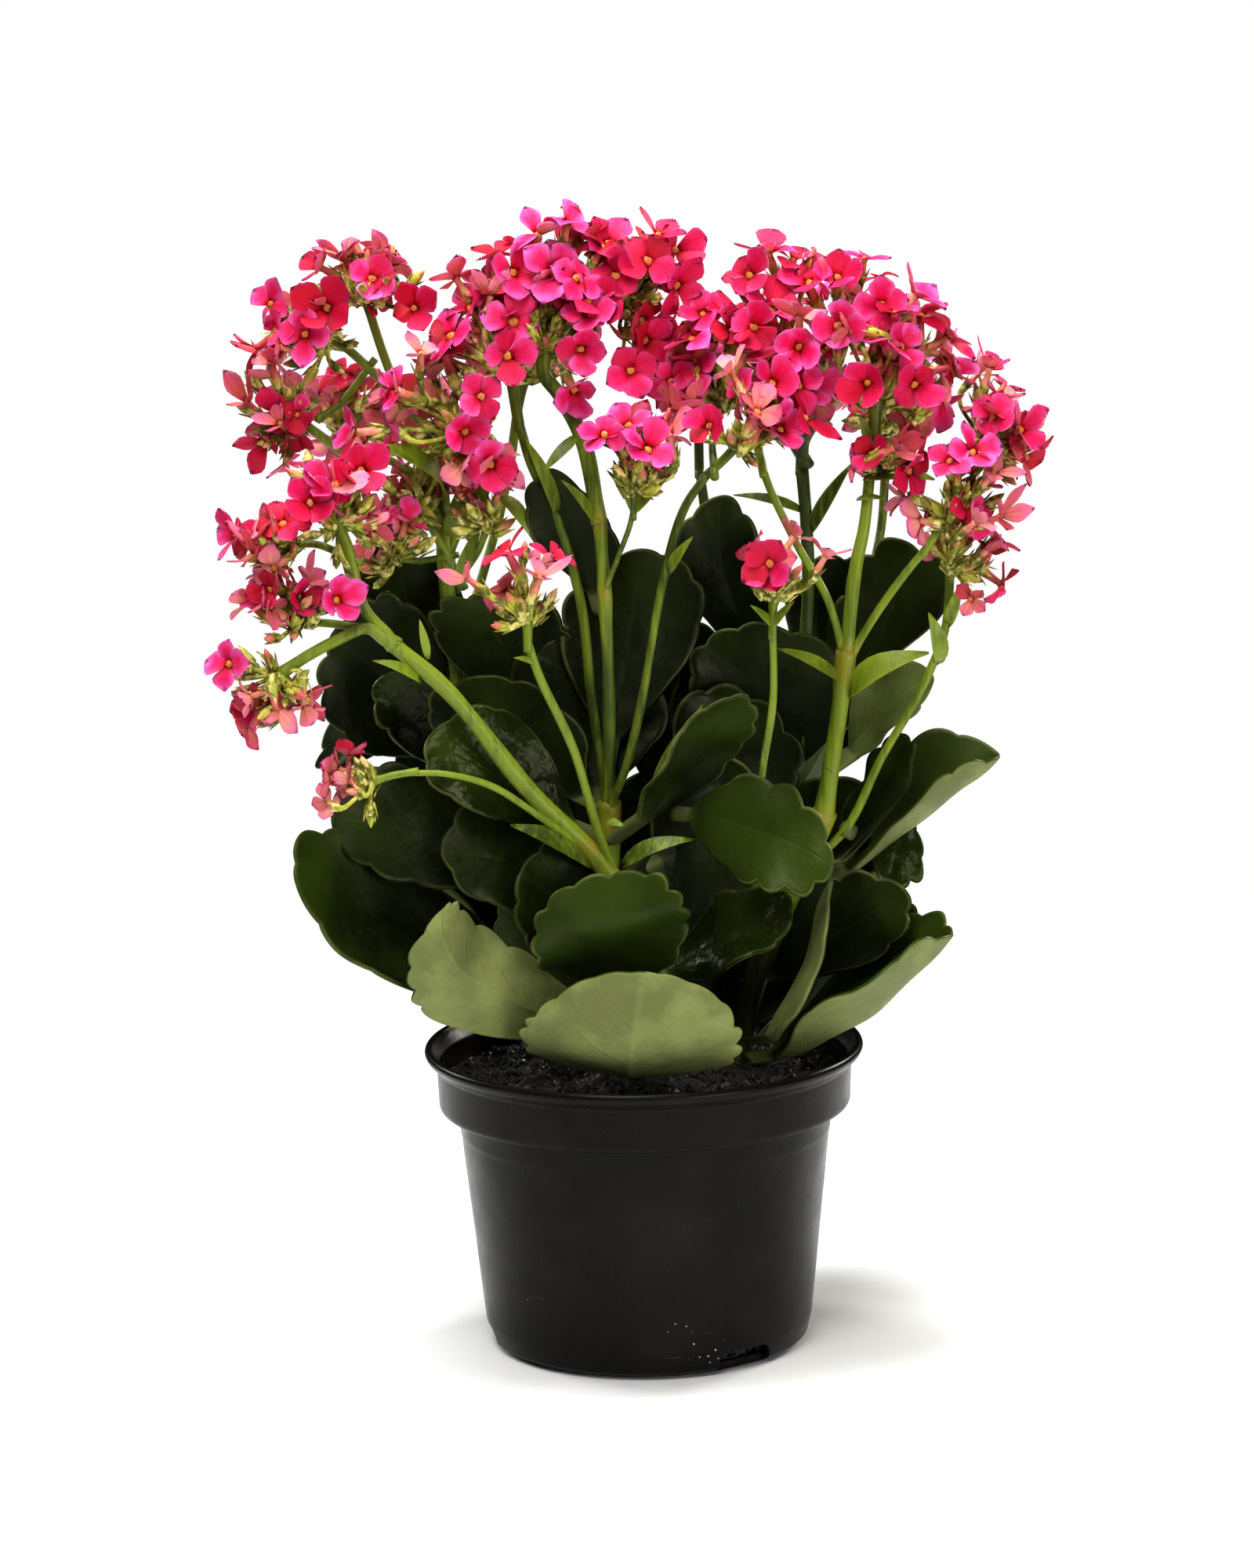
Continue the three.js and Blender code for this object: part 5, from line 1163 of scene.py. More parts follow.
def open_flowers(shell, node, centre, facing, share, tone, faded, sizes, rng):
    """Open flowers of one cluster: petals, throat, stamens, tube, sepals and a pedicel from the node."""
    n = len(centre)
    share = share * sizes.width / MM / PETALS_ACROSS * (1 - 0.12 * (faded > 0))
    apart = centre - node
    frames = frames_of(facing, rng.uniform(0, 1.6, n))
    cup = np.where(facing[:, 1] < -0.6, rng.uniform(0.4, 5.0, n), rng.uniform(-1.6, 4.2, n))
    cup = np.where(faded > 0, rng.uniform(2.0, 5.5, n), cup)
    petals(shell, centre, frames, share, cup, tone, faded, rng)

    own = {"tone": tone[:, None]}
    points, *faces = turned(np.array(THROAT), 8)
    shell.add(stand(points, centre, frames, share), *faces, finish=PETALS, rim=0.8, **own)
    for angle in np.arange(4) * np.pi / 2 + 0.4:
        points, *faces = turned(np.array(STAMEN), 4)
        points = points + [0.4 * np.cos(angle), 0.4 * np.sin(angle), 0.0]
        shell.add(stand(points, centre, frames, share), *faces, finish=PETALS, rim=1.0, **own)

    long = np.minimum(sizes.tube / MM * share, 0.7 * size_of(apart) + 1.5)
    foot = centre - facing * long[:, None]
    rise = np.array([0, 0.02, 0.14, 0.34, 0.6, 0.84, 0.97, 1.0])
    radius = np.array([0, 1.1, 1.6, 1.5, 1.15, 0.95, 1.25, 0])
    points, *faces = turned(zipped(radius, rise), 8)
    height = points[:, 2]
    red = smooth(height, 0.05, 0.75) * (0.75 + 0.25 * own["tone"])
    points = stand(stretched(points, long / share), foot, frames, share)
    shell.add(points, *faces, finish=GREENS, along=height, rim=red, **own)
    points, quads, u, v = sepal_template(1.9, sizes.sepal / MM, 1.35)
    points = stand(points, foot, frames, share)
    shell.add(points, quads, finish=GREENS, along=u, across=v, rim=0.25 * u ** 2, **own)
    pedicels(shell, node, foot, facing, own)


def pedicels(shell, node, foot, facing, own):
    """Thin stalks from a node: Bezier curves that leave it towards the flower's foot and arrive along its
    axis, thicker at both ends."""
    gap = size_of(foot - node)[:, None]
    start = np.broadcast_to(node, foot.shape)
    paths = bezier(start, start + (foot - start) * 0.35, foot - facing * gap * 0.4, foot + facing * 0.8,
                   count=9)
    radius = np.array([0.95, 0.78, 0.66, 0.58, 0.56, 0.58, 0.66, 0.85, 1.1])
    tubes(shell, paths, radius, 6, finish=GREENS, along=0.2, **own)


BUD_LENGTH = 6


def closed_buds(shell, node, tips, lengths, ripe, seed):
    """Closed buds with their tips at the given places: an ovoid whose radius is the sine of pi h^0.72 to
    the power 0.8, hugged by four sepals, on a pedicel."""
    rng = np.random.default_rng(seed)
    n = len(tips)
    facing = unit(unit(tips - node) + [0, 0, 0.25] + rng.normal(size=(n, 3)) * 0.12)
    frames = frames_of(facing, rng.uniform(0, 3, n))
    foot = tips - facing * lengths[:, None]
    own = {"tone": rng.uniform(0, 1, n)[:, None]}
    rise = np.array([0, 0.04, 0.2, 0.4, 0.62, 0.82, 0.94, 1.0])
    radius = 1.35 * np.sin(np.pi * np.clip(rise, 0.02, 0.985) ** 0.72) ** 0.8
    radius[[0, -1]] = 0
    points, *faces = turned(zipped(radius, rise * BUD_LENGTH), 8)
    height = points[:, 2] / BUD_LENGTH
    girth = np.sqrt(lengths / BUD_LENGTH)
    red = smooth(height, 0.1, 0.8) * ripe[:, None]
    points = stand(stretched(points, girth), foot, frames, girth)
    shell.add(points, *faces, finish=GREENS, along=height, rim=red, **own)
    points, quads, u, v = sepal_template(0.9, 4.2, 1.2)
    points = stand(points, foot, frames, lengths / BUD_LENGTH)
    shell.add(points, quads, finish=GREENS, along=u, across=v, rim=0.2 * u, **own)
    pedicels(shell, node, foot, facing, own)


def head(name, form, sizes, finishes, seed):
    """A flower head: its stalks, and for each cluster its flowers, the buds seen and some young ones that
    stand between the flowers, out of the node in directions near theirs."""
    rng = np.random.default_rng(seed)
    shell = Shell()
    stalks, clusters = form
    stem_ends = [(place(through[-1]), STEM_GIRTH * radius * 0.95, STEM_TONES[stem])
                 for stem, (_, lines) in STEMS.items() for radius, *through in lines]
    for radius, *through in stalks:
        path = place(through)
        end, wide, tone = min(stem_ends, key=lambda end: np.linalg.norm(end[0] - path[0]))
        wide = max(wide, radius) if np.linalg.norm(end - path[0]) < 4 else radius
        path = curve(np.vstack([path[0] - unit(path[1] - path[0]) * STALK_OVERLAP, path]), 1.4)
        walked = walk(path)
        body = radius + (wide - radius) * np.exp(-(np.clip(walked - STALK_OVERLAP, 0, None) / 5) ** 2)
        body = body * (1 + 0.2 * np.exp(-((walked - walked[-1]) / 3) ** 2))
        # Painted light: a stalk takes the tone of the stem it grows from, a little darker.
        tubes(shell, path[None], body[None], STALK_SIDES, finish=STALKS, ribs=STEM_RIBS, along=0.5,
              rim=0.15, tone=tone * 0.85)
    nodes = place([stalks[number][-1] for number, *_ in clusters])
    seen = BUDS.get(name, [])
    spots = place(seen) if seen else np.zeros((0, 3))
    owner = size_of(spots[:, None] - nodes).argmin(axis=1) if seen else np.zeros(0, int)
    look = {**PLAIN_HEAD, **HEAD_LOOKS.get(name, {})}
    for i, (_, *flowers) in enumerate(clusters):
        centre, facing, share = seen_flowers(nodes[i], flowers, rng)
        n, extra = len(centre), int(np.ceil(look["more"] * len(centre)))
        behind = more_flowers(nodes[i], centre, share, extra, look["deep"], rng)
        centre, facing, share = (np.concatenate(pair) for pair in zip((centre, facing, share), behind))
        # Seen flowers take a random tone; those set behind take a higher one, which paints them in shade.
        tone = np.append(rng.uniform(0, 1, n), rng.uniform(0.5, 1.2, extra))
        faded = rng.uniform(0.55, 1.0, n + extra)
        faded = np.where(rng.uniform(0, 1, n + extra) < look["faded"], faded, 0.0)
        aside = unit(unit(centre - nodes[i]) + rng.normal(size=centre.shape) * 0.45 + [0, 0.2, 0.3])
        facing = np.where(faded[:, None] > 0, aside, facing)
        open_flowers(shell, nodes[i], centre, facing, share, tone, faded, sizes, rng)
        ways = unit(centre - nodes[i])
        count = int(look["buds"] * n) + 3
        ways = unit(ways[rng.integers(0, len(ways), count)] + rng.normal(size=(count, 3)) * 0.5)
        reach = rng.uniform(5, look["reach"], count)
        own = owner == i
        tips = np.concatenate([spots[own], nodes[i] + ways * reach[:, None]])
        listed = [seen[k] for k in np.flatnonzero(own)]
        lengths = np.append([bud[3] for bud in listed], rng.uniform(4, 8.5, count))
        ripe = np.append([bud[4] for bud in listed], rng.uniform(0, 0.9, count))
        closed_buds(shell, nodes[i], tips, lengths, ripe, seed * 10 + i + 5)
        fans = unit(ways[:4] + rng.normal(size=(4, 3)) * 0.3)
        tips = nodes[i] + fans * rng.uniform(5, 9, (4, 1))
        widths, bends, tones = (rng.uniform(*ends, 4) for ends in ((1.6, 2.6), (0.05, 0.2), (0.2, 0.8)))
        bracts(shell, 0 * tips + nodes[i], tips, widths, bends, tones, finish=GREENS)
    return shell.make(name + "_blooms", finishes)


class Finish:
    """A material's nodes, added one call at a time. A socket given as a value is linked."""

    def __init__(self, name):
        self.material = bpy.data.materials.new(name)
        self.material.use_nodes = True
        self.tree = self.material.node_tree
        self.tree.nodes.clear()

    def node(self, kind, inputs=None, **settings):
        made = self.tree.nodes.new("ShaderNode" + kind)
        for key, value in settings.items():
            setattr(made, key, value)
        for key, value in (inputs or {}).items():
            if isinstance(value, bpy.types.NodeSocket):
                self.tree.links.new(value, made.inputs[key])
            else:
                made.inputs[key].default_value = value
        return made

    def values(self, *names):
        """The values of those names that a piece holds at its points."""
        return [self.node("Attribute", attribute_name=name).outputs["Fac"] for name in names]

    def place(self):
        return self.node("TexCoord").outputs["Object"]

    def spot(self, stretch=(1, 1, 1)):
        """The place on the object, scaled along each axis."""
        return self.node("Mapping", {"Vector": self.place(), "Scale": stretch}).outputs["Vector"]

    def height(self):
        return self.node("SeparateXYZ", {"Vector": self.place()}).outputs["Z"]

    def joined(self, x, y, z):
        """A coordinate from single values, for a pattern that follows the surface."""
        return self.node("CombineXYZ", {"X": x, "Y": y, "Z": z}).outputs["Vector"]

    def noise(self, scale, detail=3.0, rough=0.5, vector=None, stretch=(1, 1, 1)):
        vector = vector or self.spot(stretch)
        inputs = {"Vector": vector, "Scale": scale, "Detail": detail, "Roughness": rough}
        return self.node("TexNoise", inputs).outputs["Fac"]

    def cells(self, scale):
        return self.node("TexVoronoi", {"Vector": self.spot(), "Scale": scale}).outputs["Distance"]

    def sums(self, operation, *values):
        return self.node("Math", dict(enumerate(values)), operation=operation).outputs[0]

    def plus(self, *values):
        return self.sums("ADD", *values)

    def times(self, *values):
        return self.sums("MULTIPLY", *values)

    def between(self, value, low, high, to_low=0.0, to_high=1.0):
        """The value's share of the way from low to high, eased, as a number between two others."""
        made = self.node("MapRange", {"Value": value, "From Min": low, "From Max": high, "To Min": to_low,
                                      "To Max": to_high}, interpolation_type="SMOOTHSTEP")
        return made.outputs["Result"]

    def blend(self, share, first, second):
        return self.node("Mix", {0: share, 6: first, 7: second}, data_type="RGBA").outputs[2]

    def layer(self, colour, top, value, low, high, most=1.0):
        """A colour that another covers, up to most, as the value goes from low to high."""
        return self.blend(self.between(value, low, high, 0, most), colour, top)

    def relief(self, height, depth, under=None):
        """A bump of the given depth in metres on top of another."""
        inputs = {"Height": height, "Distance": depth, "Strength": 1.0}
        if under is not None:
            inputs["Normal"] = under
        return self.node("Bump", inputs).outputs["Normal"]

    def surface(self, colour, rough, shine, glow=(), **inputs):
        """The finished material. Shine is how strongly it reflects, glow the weight, scale and radii of
        the light that passes below its skin, and other inputs are named like the shader's sockets."""
        named = {"Base Color": colour, "Roughness": rough, "Specular IOR Level": shine}
        named.update(zip(("Subsurface Weight", "Subsurface Scale", "Subsurface Radius"), glow))
        shader = self.node("BsdfPrincipled", {**named, **inputs})
        self.node("OutputMaterial", {"Surface": shader.outputs["BSDF"]})
        return self.material


def tuned(colour, factor):
    """A colour made lighter or darker by a factor."""
    return [min(1, channel * factor) for channel in colour[:3]] + [1]


def leaf_finish(sizes, name, rough, puckers):
    """Waxy leaf skin: mottled green above, painted by tone from the dark green of shade to a lit green,
    lighter towards the tip and with painted shade towards the base; pale olive with a raised net of veins
    below, darkened as painted shade on leaves of low tone; and a thin pale line along the margin, a
    painted highlight of light catching the edge. The roughness above lies between two numbers; puckers is
    their depth."""
    make = Finish(name)
    along, across, under, rim, tone = make.values("along", "across", "under", "rim", "tone")
    # Painted light: tone, varied at random, sets how lit the upper side is painted, lighter towards the
    # tip and darker as painted shade towards the base.
    painted_lit = make.plus(tone, make.between(make.noise(45, 3), 0.3, 0.7, -0.2, 0.2))
    painted_lit = make.plus(painted_lit, make.between(along, 0.4, 1.0, -0.15, 0.22))
    upper = make.layer(sizes.shade, sizes.painted_lit, painted_lit, 0, 1)
    mottle = make.noise(420, 4, 0.6)
    upper = make.layer(upper, tuned(sizes.painted_lit, 0.8), mottle, 0.4, 0.75, 0.18)
    lower = make.layer(tuned(sizes.under, 0.74), tuned(sizes.under, 1.06), make.noise(70, 4), 0.38, 0.62)
    lower = make.layer(lower, tuned(sizes.under, 0.62), mottle, 0.48, 0.72, 0.32)
    # Painted shade: the under side of a leaf of low tone darkens towards a deep green.
    lower = make.layer(lower, tuned(sizes.painted_lit, 1.3), tone, 0.8, 0.1, 0.85)
    out = make.sums("ABSOLUTE", across)
    slant = make.sums("SUBTRACT", make.times(along, 7.0), make.times(out, 2.2))
    slant = make.plus(slant, make.times(make.noise(60, 2), 0.9))
    vein = make.sums("ABSOLUTE", make.sums("SUBTRACT", make.sums("FRACT", slant), 0.5))
    vein = make.times(make.between(vein, 0.0, 0.07, 1, 0), make.between(out, 0.95, 0.4, 0, 0.55))
    veins = make.sums("MAXIMUM", vein, make.between(out, 0.0, 0.06, 1, 0))
    lower = make.blend(make.times(veins, 0.16), lower, tuned(sizes.under, 1.45))
    upper = make.blend(make.times(veins, 0.10), upper, tuned(sizes.painted_lit, 1.3))
    colour = make.layer(upper, lower, under, 0.25, 0.75)
    # Painted highlight: a thin pale line along the margin, broken up at random.
    line = make.between(make.noise(70, 2), 0.38, 0.62, 0.1, 1)
    line = make.times(make.between(rim, 0.5, 0.97), line)
    colour = make.blend(make.times(line, 0.36), colour, sizes.margin)
    colour = make.layer(colour, tuned(sizes.under, 0.9), along, 0.16, 0.02, 0.65)
    rough = make.plus(make.between(mottle, 0.3, 0.7, *rough), make.times(under, 0.17))
    puckers = make.relief(make.noise(110, 3, 0.5), puckers)
    raised = make.relief(make.times(veins, make.between(under, 0.2, 0.8, -0.2, 1)), 0.0002, puckers)
    return make.surface(colour, rough, 0.18, (0.12, 0.0022, (0.5, 1.0, 0.15)), Normal=raised,
                        **{"Specular Tint": (1.0, 1.0, 0.72, 1.0)})


def stem_finish(sizes):
    """Smooth stem skin: painted by tone from the deep green of shade to the yellow-green of light, with
    fine lengthwise streaks, reddish at the forks, and darker towards the bottom as painted shade near the
    peat.
    """
    make = Finish("stem_skin")
    rim, tone = make.values("rim", "tone")
    streak = make.noise(160, 4, 0.6, stretch=(4, 4, 0.35))
    wide = make.noise(75, 2, 0.5, stretch=(2, 2, 0.6))
    light = make.plus(make.between(streak, 0.3, 0.7, -0.2, 0.2), make.between(wide, 0.3, 0.7, -0.3, 0.2))
    # Painted light: tone, varied at random, paints each stem between its shaded and lit greens.
    colour = make.layer(sizes.deep, sizes.bright, make.plus(tone, light), 0.05, 1.0)
    colour = make.layer(colour, tuned(sizes.bright, 1.25), streak, 0.55, 0.75, 0.4)
    patch = make.between(make.noise(110, 3), 0.35, 0.65, 0.1, 0.75)
    colour = make.blend(make.times(make.between(rim, 0.25, 1.0), patch), colour, sizes.fork)
    specks = make.between(make.cells(700), 0.0, 0.16, 0.35, 0)
    colour = make.blend(specks, colour, tuned(sizes.fork, 0.8))
    # Painted shade: the stems darken towards the bottom, near the peat.
    colour = make.layer(colour, tuned(sizes.deep, 0.25), make.height(), 0.140, 0.095, 0.85)
    rough = make.between(streak, 0.3, 0.7, 0.36, 0.5)
    return make.surface(colour, rough, 0.45, (0.15, 0.002, (1.0, 1.2, 0.2)),
                        Normal=make.relief(streak, 0.0003))


def petal_finish(sizes):
    """Matt petals: hot pink with darker veins, paler towards the edge and red near the orange throat,
    salmon on the under side. A flower's tone paints its light: the paler edge, partly the petal's own
    colour, is painted stronger on lit flowers as a painted highlight, and both sides darken to deep red
    as painted shade."""
    make = Finish("petal_skin")
    along, across, under, rim, tone = make.values("along", "across", "under", "rim", "tone")
    out = make.sums("ABSOLUTE", across)
    end, side = make.between(along, 0.45, 1.0, 0, 0.85), make.between(out, 0.25, 1.0, 0, 0.7)
    far = make.sums("MAXIMUM", end, side)
    # Painted highlight: flowers of low tone, painted as lit, get more of the pale edge and those in shade
    # less.
    far = make.times(far, make.between(tone, 0.0, 0.9, 1.4, 0.25))
    cloud = make.between(make.noise(260, 3), 0.3, 0.7, 0.5, 1.25)
    body = make.blend(make.times(far, cloud), sizes.petal, sizes.edge)
    body = make.layer(body, sizes.deep, along, 0.38, 0.0)
    # Painted shade: flowers of high tone darken towards deep red.
    body = make.layer(body, tuned(sizes.deep, 0.8), tone, 0.4, 1.2, 0.9)
    lengthwise = make.joined(make.times(across, 9.0), along, tone)
    streak = make.noise(1.0, 3, 0.6, vector=lengthwise)
    body = make.layer(body, tuned(sizes.deep, 0.7), streak, 0.5, 0.75, 0.35)
    back = make.layer(sizes.under, sizes.edge, along, 0.2, 1.0, 0.6)
    back = make.layer(back, tuned(sizes.under, 1.15), out, 0.35, 0.0, 0.4)
    back = make.layer(back, sizes.petal, streak, 0.45, 0.75, 0.5)
    # Painted shade: the under side darkens towards deep red with tone.
    back = make.layer(back, tuned(sizes.deep, 0.7), tone, 0.5, 1.2, 0.7)
    colour = make.blend(rim, make.blend(under, body, back), sizes.throat)
    veins = make.relief(streak, 0.00025, make.relief(make.noise(2400, 2), 0.00006))
    return make.surface(colour, 0.55, 0.3, (0.2, 0.0012, (1.0, 0.35, 0.5)), Normal=veins)


def green_finish(sizes):
    """Tubes, sepals, buds and pedicels: yellow-green, from darker to lighter by tone, with dark patches of
    painted shade and pale patches of painted highlight, ripening to salmon.
    """
    make = Finish("calyx_skin")
    rim, tone = make.values("rim", "tone")
    cloud = make.noise(330, 3, 0.6)
    young = make.layer(tuned(sizes.green, 0.45), tuned(sizes.green, 1.25), tone, 0, 1)
    # Painted shade: dark patches at random.
    young = make.layer(young, tuned(sizes.green, 0.17), make.noise(210, 3), 0.50, 0.60, 0.8)
    # Painted highlight: pale patches at random.
    young = make.layer(young, sizes.cream_highlight, cloud, 0.48, 0.60, 0.85)
    ripe = make.layer(sizes.tube_colour, tuned(sizes.under, 0.9), cloud, 0.3, 0.7)
    ripe = make.layer(ripe, tuned(sizes.petal, 0.75), tone, 0.6, 1, 0.6)
    share = make.plus(rim, make.between(cloud, 0.3, 0.7, -0.2, 0.2))
    colour = make.layer(young, ripe, share, 0.12, 0.9)
    rough = make.between(cloud, 0.3, 0.7, 0.4, 0.55)
    return make.surface(colour, rough, 0.4, (0.2, 0.0015, (1.0, 0.7, 0.2)),
                        Normal=make.relief(cloud, 0.0002))


def pot_finish(sizes):
    """Moulded black plastic: faint orange peel, fine scuffs, and dust and splashes near the base."""
    make = Finish("black_plastic")
    low = make.between(make.height(), 0.028, 0.004)
    scuffs = make.between(make.noise(700, 2, 0.5, stretch=(0.12, 0.12, 3.0)), 0.70, 0.80)
    patches = make.between(make.noise(55, 3), 0.48, 0.66)
    film = make.times(make.times(scuffs, patches), make.between(low, 0, 1, 0.10, 0.5))
    grains = make.between(make.cells(480), 0.07, 0.16, 1, 0)
    where = make.between(make.noise(62, 2), 0.60, 0.68)
    splash = make.times(make.times(grains, where), make.between(low, 0.1, 0.6))
    colour = make.layer(sizes.plastic, tuned(sizes.dust, 0.6), make.noise(38, 4, 0.6), 0.4, 0.75, 0.03)
    colour = make.blend(film, colour, tuned(sizes.dust, 0.7))
    colour = make.blend(splash, colour, tuned(sizes.dust, 3.0))
    rough = make.between(make.noise(90, 4, 0.6), 0.3, 0.7, 0.25, 0.34)
    rough = make.plus(rough, make.times(make.plus(film, splash), 0.4))
    waves = make.relief(make.noise(45, 2), 0.00025, make.relief(make.noise(900, 2), 0.00004))
    specks = make.relief(splash, 0.0004, waves)
    return make.surface(colour, rough, 0.12, Normal=specks)


def peat_finish(sizes):
    """Damp peat: near-black crumbs with brown and pale fibres, and a wet shine on some."""
    make = Finish("damp_peat")
    (tone,) = make.values("tone")
    grain = make.noise(620, 5, 0.65)
    colour = make.layer(tuned(sizes.peat, 0.5), tuned(sizes.peat, 1.8), grain, 0.35, 0.7)
    colour = make.layer(colour, tuned(sizes.crumb, 0.35), make.noise(1500, 3), 0.66, 0.76, 0.6)
    colour = make.layer(colour, tuned(sizes.crumb, 0.8), tone, 0.3, 1.0)
    wet = make.between(make.noise(420, 3), 0.50, 0.56, 0.9, 0.07)
    return make.surface(colour, wet, 1.0, Normal=make.relief(grain, 0.0008))


def floor_finish(sizes):
    """A pale floor with a faint tooth, which fades out to the surroundings far from the object."""
    make = Finish("pale_floor")
    away = make.node("VectorMath", {0: make.place()}, operation="LENGTH").outputs["Value"]
    shade = make.layer(tuned(sizes.floor, 0.99), sizes.floor, make.noise(25, 3), 0.3, 0.7)
    fade = make.between(away, sizes.reach * 0.22, sizes.reach * 0.6, 1, 0)
    return make.surface(shade, 0.85, 0.1, Alpha=fade)


class KALANCHOE_OT_pot(bpy.types.Operator):
    """Moulds the black pot: a rounded profile turned round the axis, with three drainage slots cut out"""
    bl_idname = "kalanchoe.pot"
    bl_label = "Pot"

    def execute(self, context):
        sizes = context.scene.kalanchoe_pot
        shell = Shell()
        shell.add(*turned(rounded(pot_profile(sizes), POT_ROUNDING), POT_SIDES))
        pot = shell.make("grow_pot", [pot_finish(sizes)])
        blocks = [slot_block(angle, sizes) for angle in SLOT_ANGLES]
        for block in blocks:
            cut = pot.modifiers.new(block.name, "BOOLEAN")
            cut.object, cut.operation, cut.solver = block, "DIFFERENCE", "EXACT"
        shaped = pot.evaluated_get(context.evaluated_depsgraph_get())
        pot.data = bpy.data.meshes.new_from_object(shaped)
        pot.modifiers.clear()
        pot.data.set_sharp_from_angle(angle=np.radians(POT_CREASE))
        for block in blocks:
            bpy.data.objects.remove(block)
        settle(pot, node="pot")
        return {"FINISHED"}


class KALANCHOE_OT_peat(bpy.types.Operator):
    """Fills the pot with peat: a lumpy top on a tapered ball, strewn with crumbs and fibres"""
    bl_idname = "kalanchoe.peat"
    bl_label = "Peat"

    def execute(self, context):
        sizes = context.scene.kalanchoe_pot
        rng = np.random.default_rng(SEED)
        wide, low = sizes.band / MM - PEAT_GAP, sizes.foot / MM - 1.6
        top = np.column_stack([np.linspace(0, wide, PEAT_RINGS), np.zeros(PEAT_RINGS)])
        side = [[wide, BAND_BOTTOM + 2.2], [sizes.body_top / MM - PEAT_GAP, BAND_BOTTOM],
                [sizes.body_low / MM - PEAT_GAP, BODY_LOW_HEIGHT + 1], [low, 2.5], [0, 2.5]]
        points, quads, tris = turned(np.concatenate([top, side]), PEAT_SIDES)
        away = np.hypot(points[:, 0], points[:, 1])
        upper = np.arange(len(points)) < (PEAT_RINGS - 1) * PEAT_SIDES
        upper[-2] = True
        points[upper, 2] = self.level(points[upper])
        points[:, 2] = np.where(upper & (away > wide - 0.1), PEAT_LEVEL - 2, points[:, 2])
        shell = Shell()
        shell.add(points, quads, tris, tone=0.0)
        for kind in CRUMBS:
            self.crumbs(shell, rng, wide, *kind)
        self.fibres(shell, rng, wide)
        settle(shell.make("peat_ball", [peat_finish(sizes)]), node="peat")
        return {"FINISHED"}

    @staticmethod
    def level(points):
        """The height of the peat: a low crown, sunk towards the wall, plus lumps of three sizes."""
        away = np.hypot(points[:, 0], points[:, 1])
        crown = PEAT_LEVEL - 0.6 + (PEAT_CROWN - PEAT_LEVEL) * smooth(away, 48, 12)
        crown = crown - 1.6 * smooth(away, 44, 56)
        flat = points * [1, 1, 0]
        coarse, middling = 0.8 * lumps(flat, 15, 1), 0.6 * np.abs(lumps(flat, 5.2, 2))
        return crown + coarse + middling + 0.45 * lumps(flat, 2.4, 3, 20)

    def crumbs(self, shell, rng, wide, count, sizes, tones):
        """Uneven lumps, each an ellipsoid with a random stretch, sunk a little in the peat."""
        spots = self.scatter(rng, wide - 2, count)
        spots[:, 2] = self.level(spots) + 0.15
        frames = frames_of(unit(rng.normal(size=(count, 3))), rng.uniform(0, 3, count))
        frames = frames * rng.uniform(0.55, 1.3, (count, 3, 1))
        slope = np.linspace(0, np.pi, 6)
        ball, *faces = turned(np.column_stack([np.sin(slope), np.cos(slope)]), 6)
        ball = ball[None] * (1 + 0.22 * rng.normal(size=(count, len(ball), 1)).clip(-1, 1))
        scale = rng.uniform(*sizes, count)
        shell.add(stand(ball, spots, frames, scale), *faces, tone=rng.uniform(*tones, (count, 1)))

    def fibres(self, shell, rng, wide):
        """Thin roots and fibres: short Bezier curves that lie on the peat with their ends in it."""
        start = self.scatter(rng, wide - 6, FIBRES)
        bends = [start + rng.normal(size=start.shape) * [k * 2.2, k * 2.2, 0] for k in (0, 1, 1.6, 2.2)]
        for bend, lift in zip(bends, (0.0, 0.9, 0.9, 0.0)):
            bend[:, 2] = self.level(bend) + lift
        tubes(shell, bezier(*bends, count=8), 0.16, 5, tone=rng.uniform(0.3, 1.0, (FIBRES, 1)))

    @staticmethod
    def scatter(rng, reach, count):
        """Random places spread evenly over a round of that reach, at height 0."""
        away = reach * np.sqrt(rng.uniform(0.02, 1, count))
        way = rng.uniform(0, 2 * np.pi, count)
        return zipped(away * np.cos(way), away * np.sin(way), 0 * way)


class KALANCHOE_OT_stems(bpy.types.Operator):
    """Grows the five stems with their branches and small leaves"""
    bl_idname = "kalanchoe.stems"
    bl_label = "Stems"

    def execute(self, context):
        sizes = context.scene.kalanchoe_stem
        finish = stem_finish(sizes)
        for name, (foot, lines) in STEMS.items():
            shell = Shell()
            ways = [place(through) for _, *through in lines]
            ways[0] = np.vstack([[*foot, PEAT_LEVEL - 2], ways[0]])
            paths = [curve(way, 2.0) for way in ways]
            stem_lines(shell, lines, paths, sizes.swelling, STEM_TONES[name])
            base, tip, *rest = zip(*BRACTS[name])
            bracts(shell, place(base), place(tip), *rest)
            settle(shell.make(name + "_stem", [finish]), node="stem_" + name)
        return {"FINISHED"}


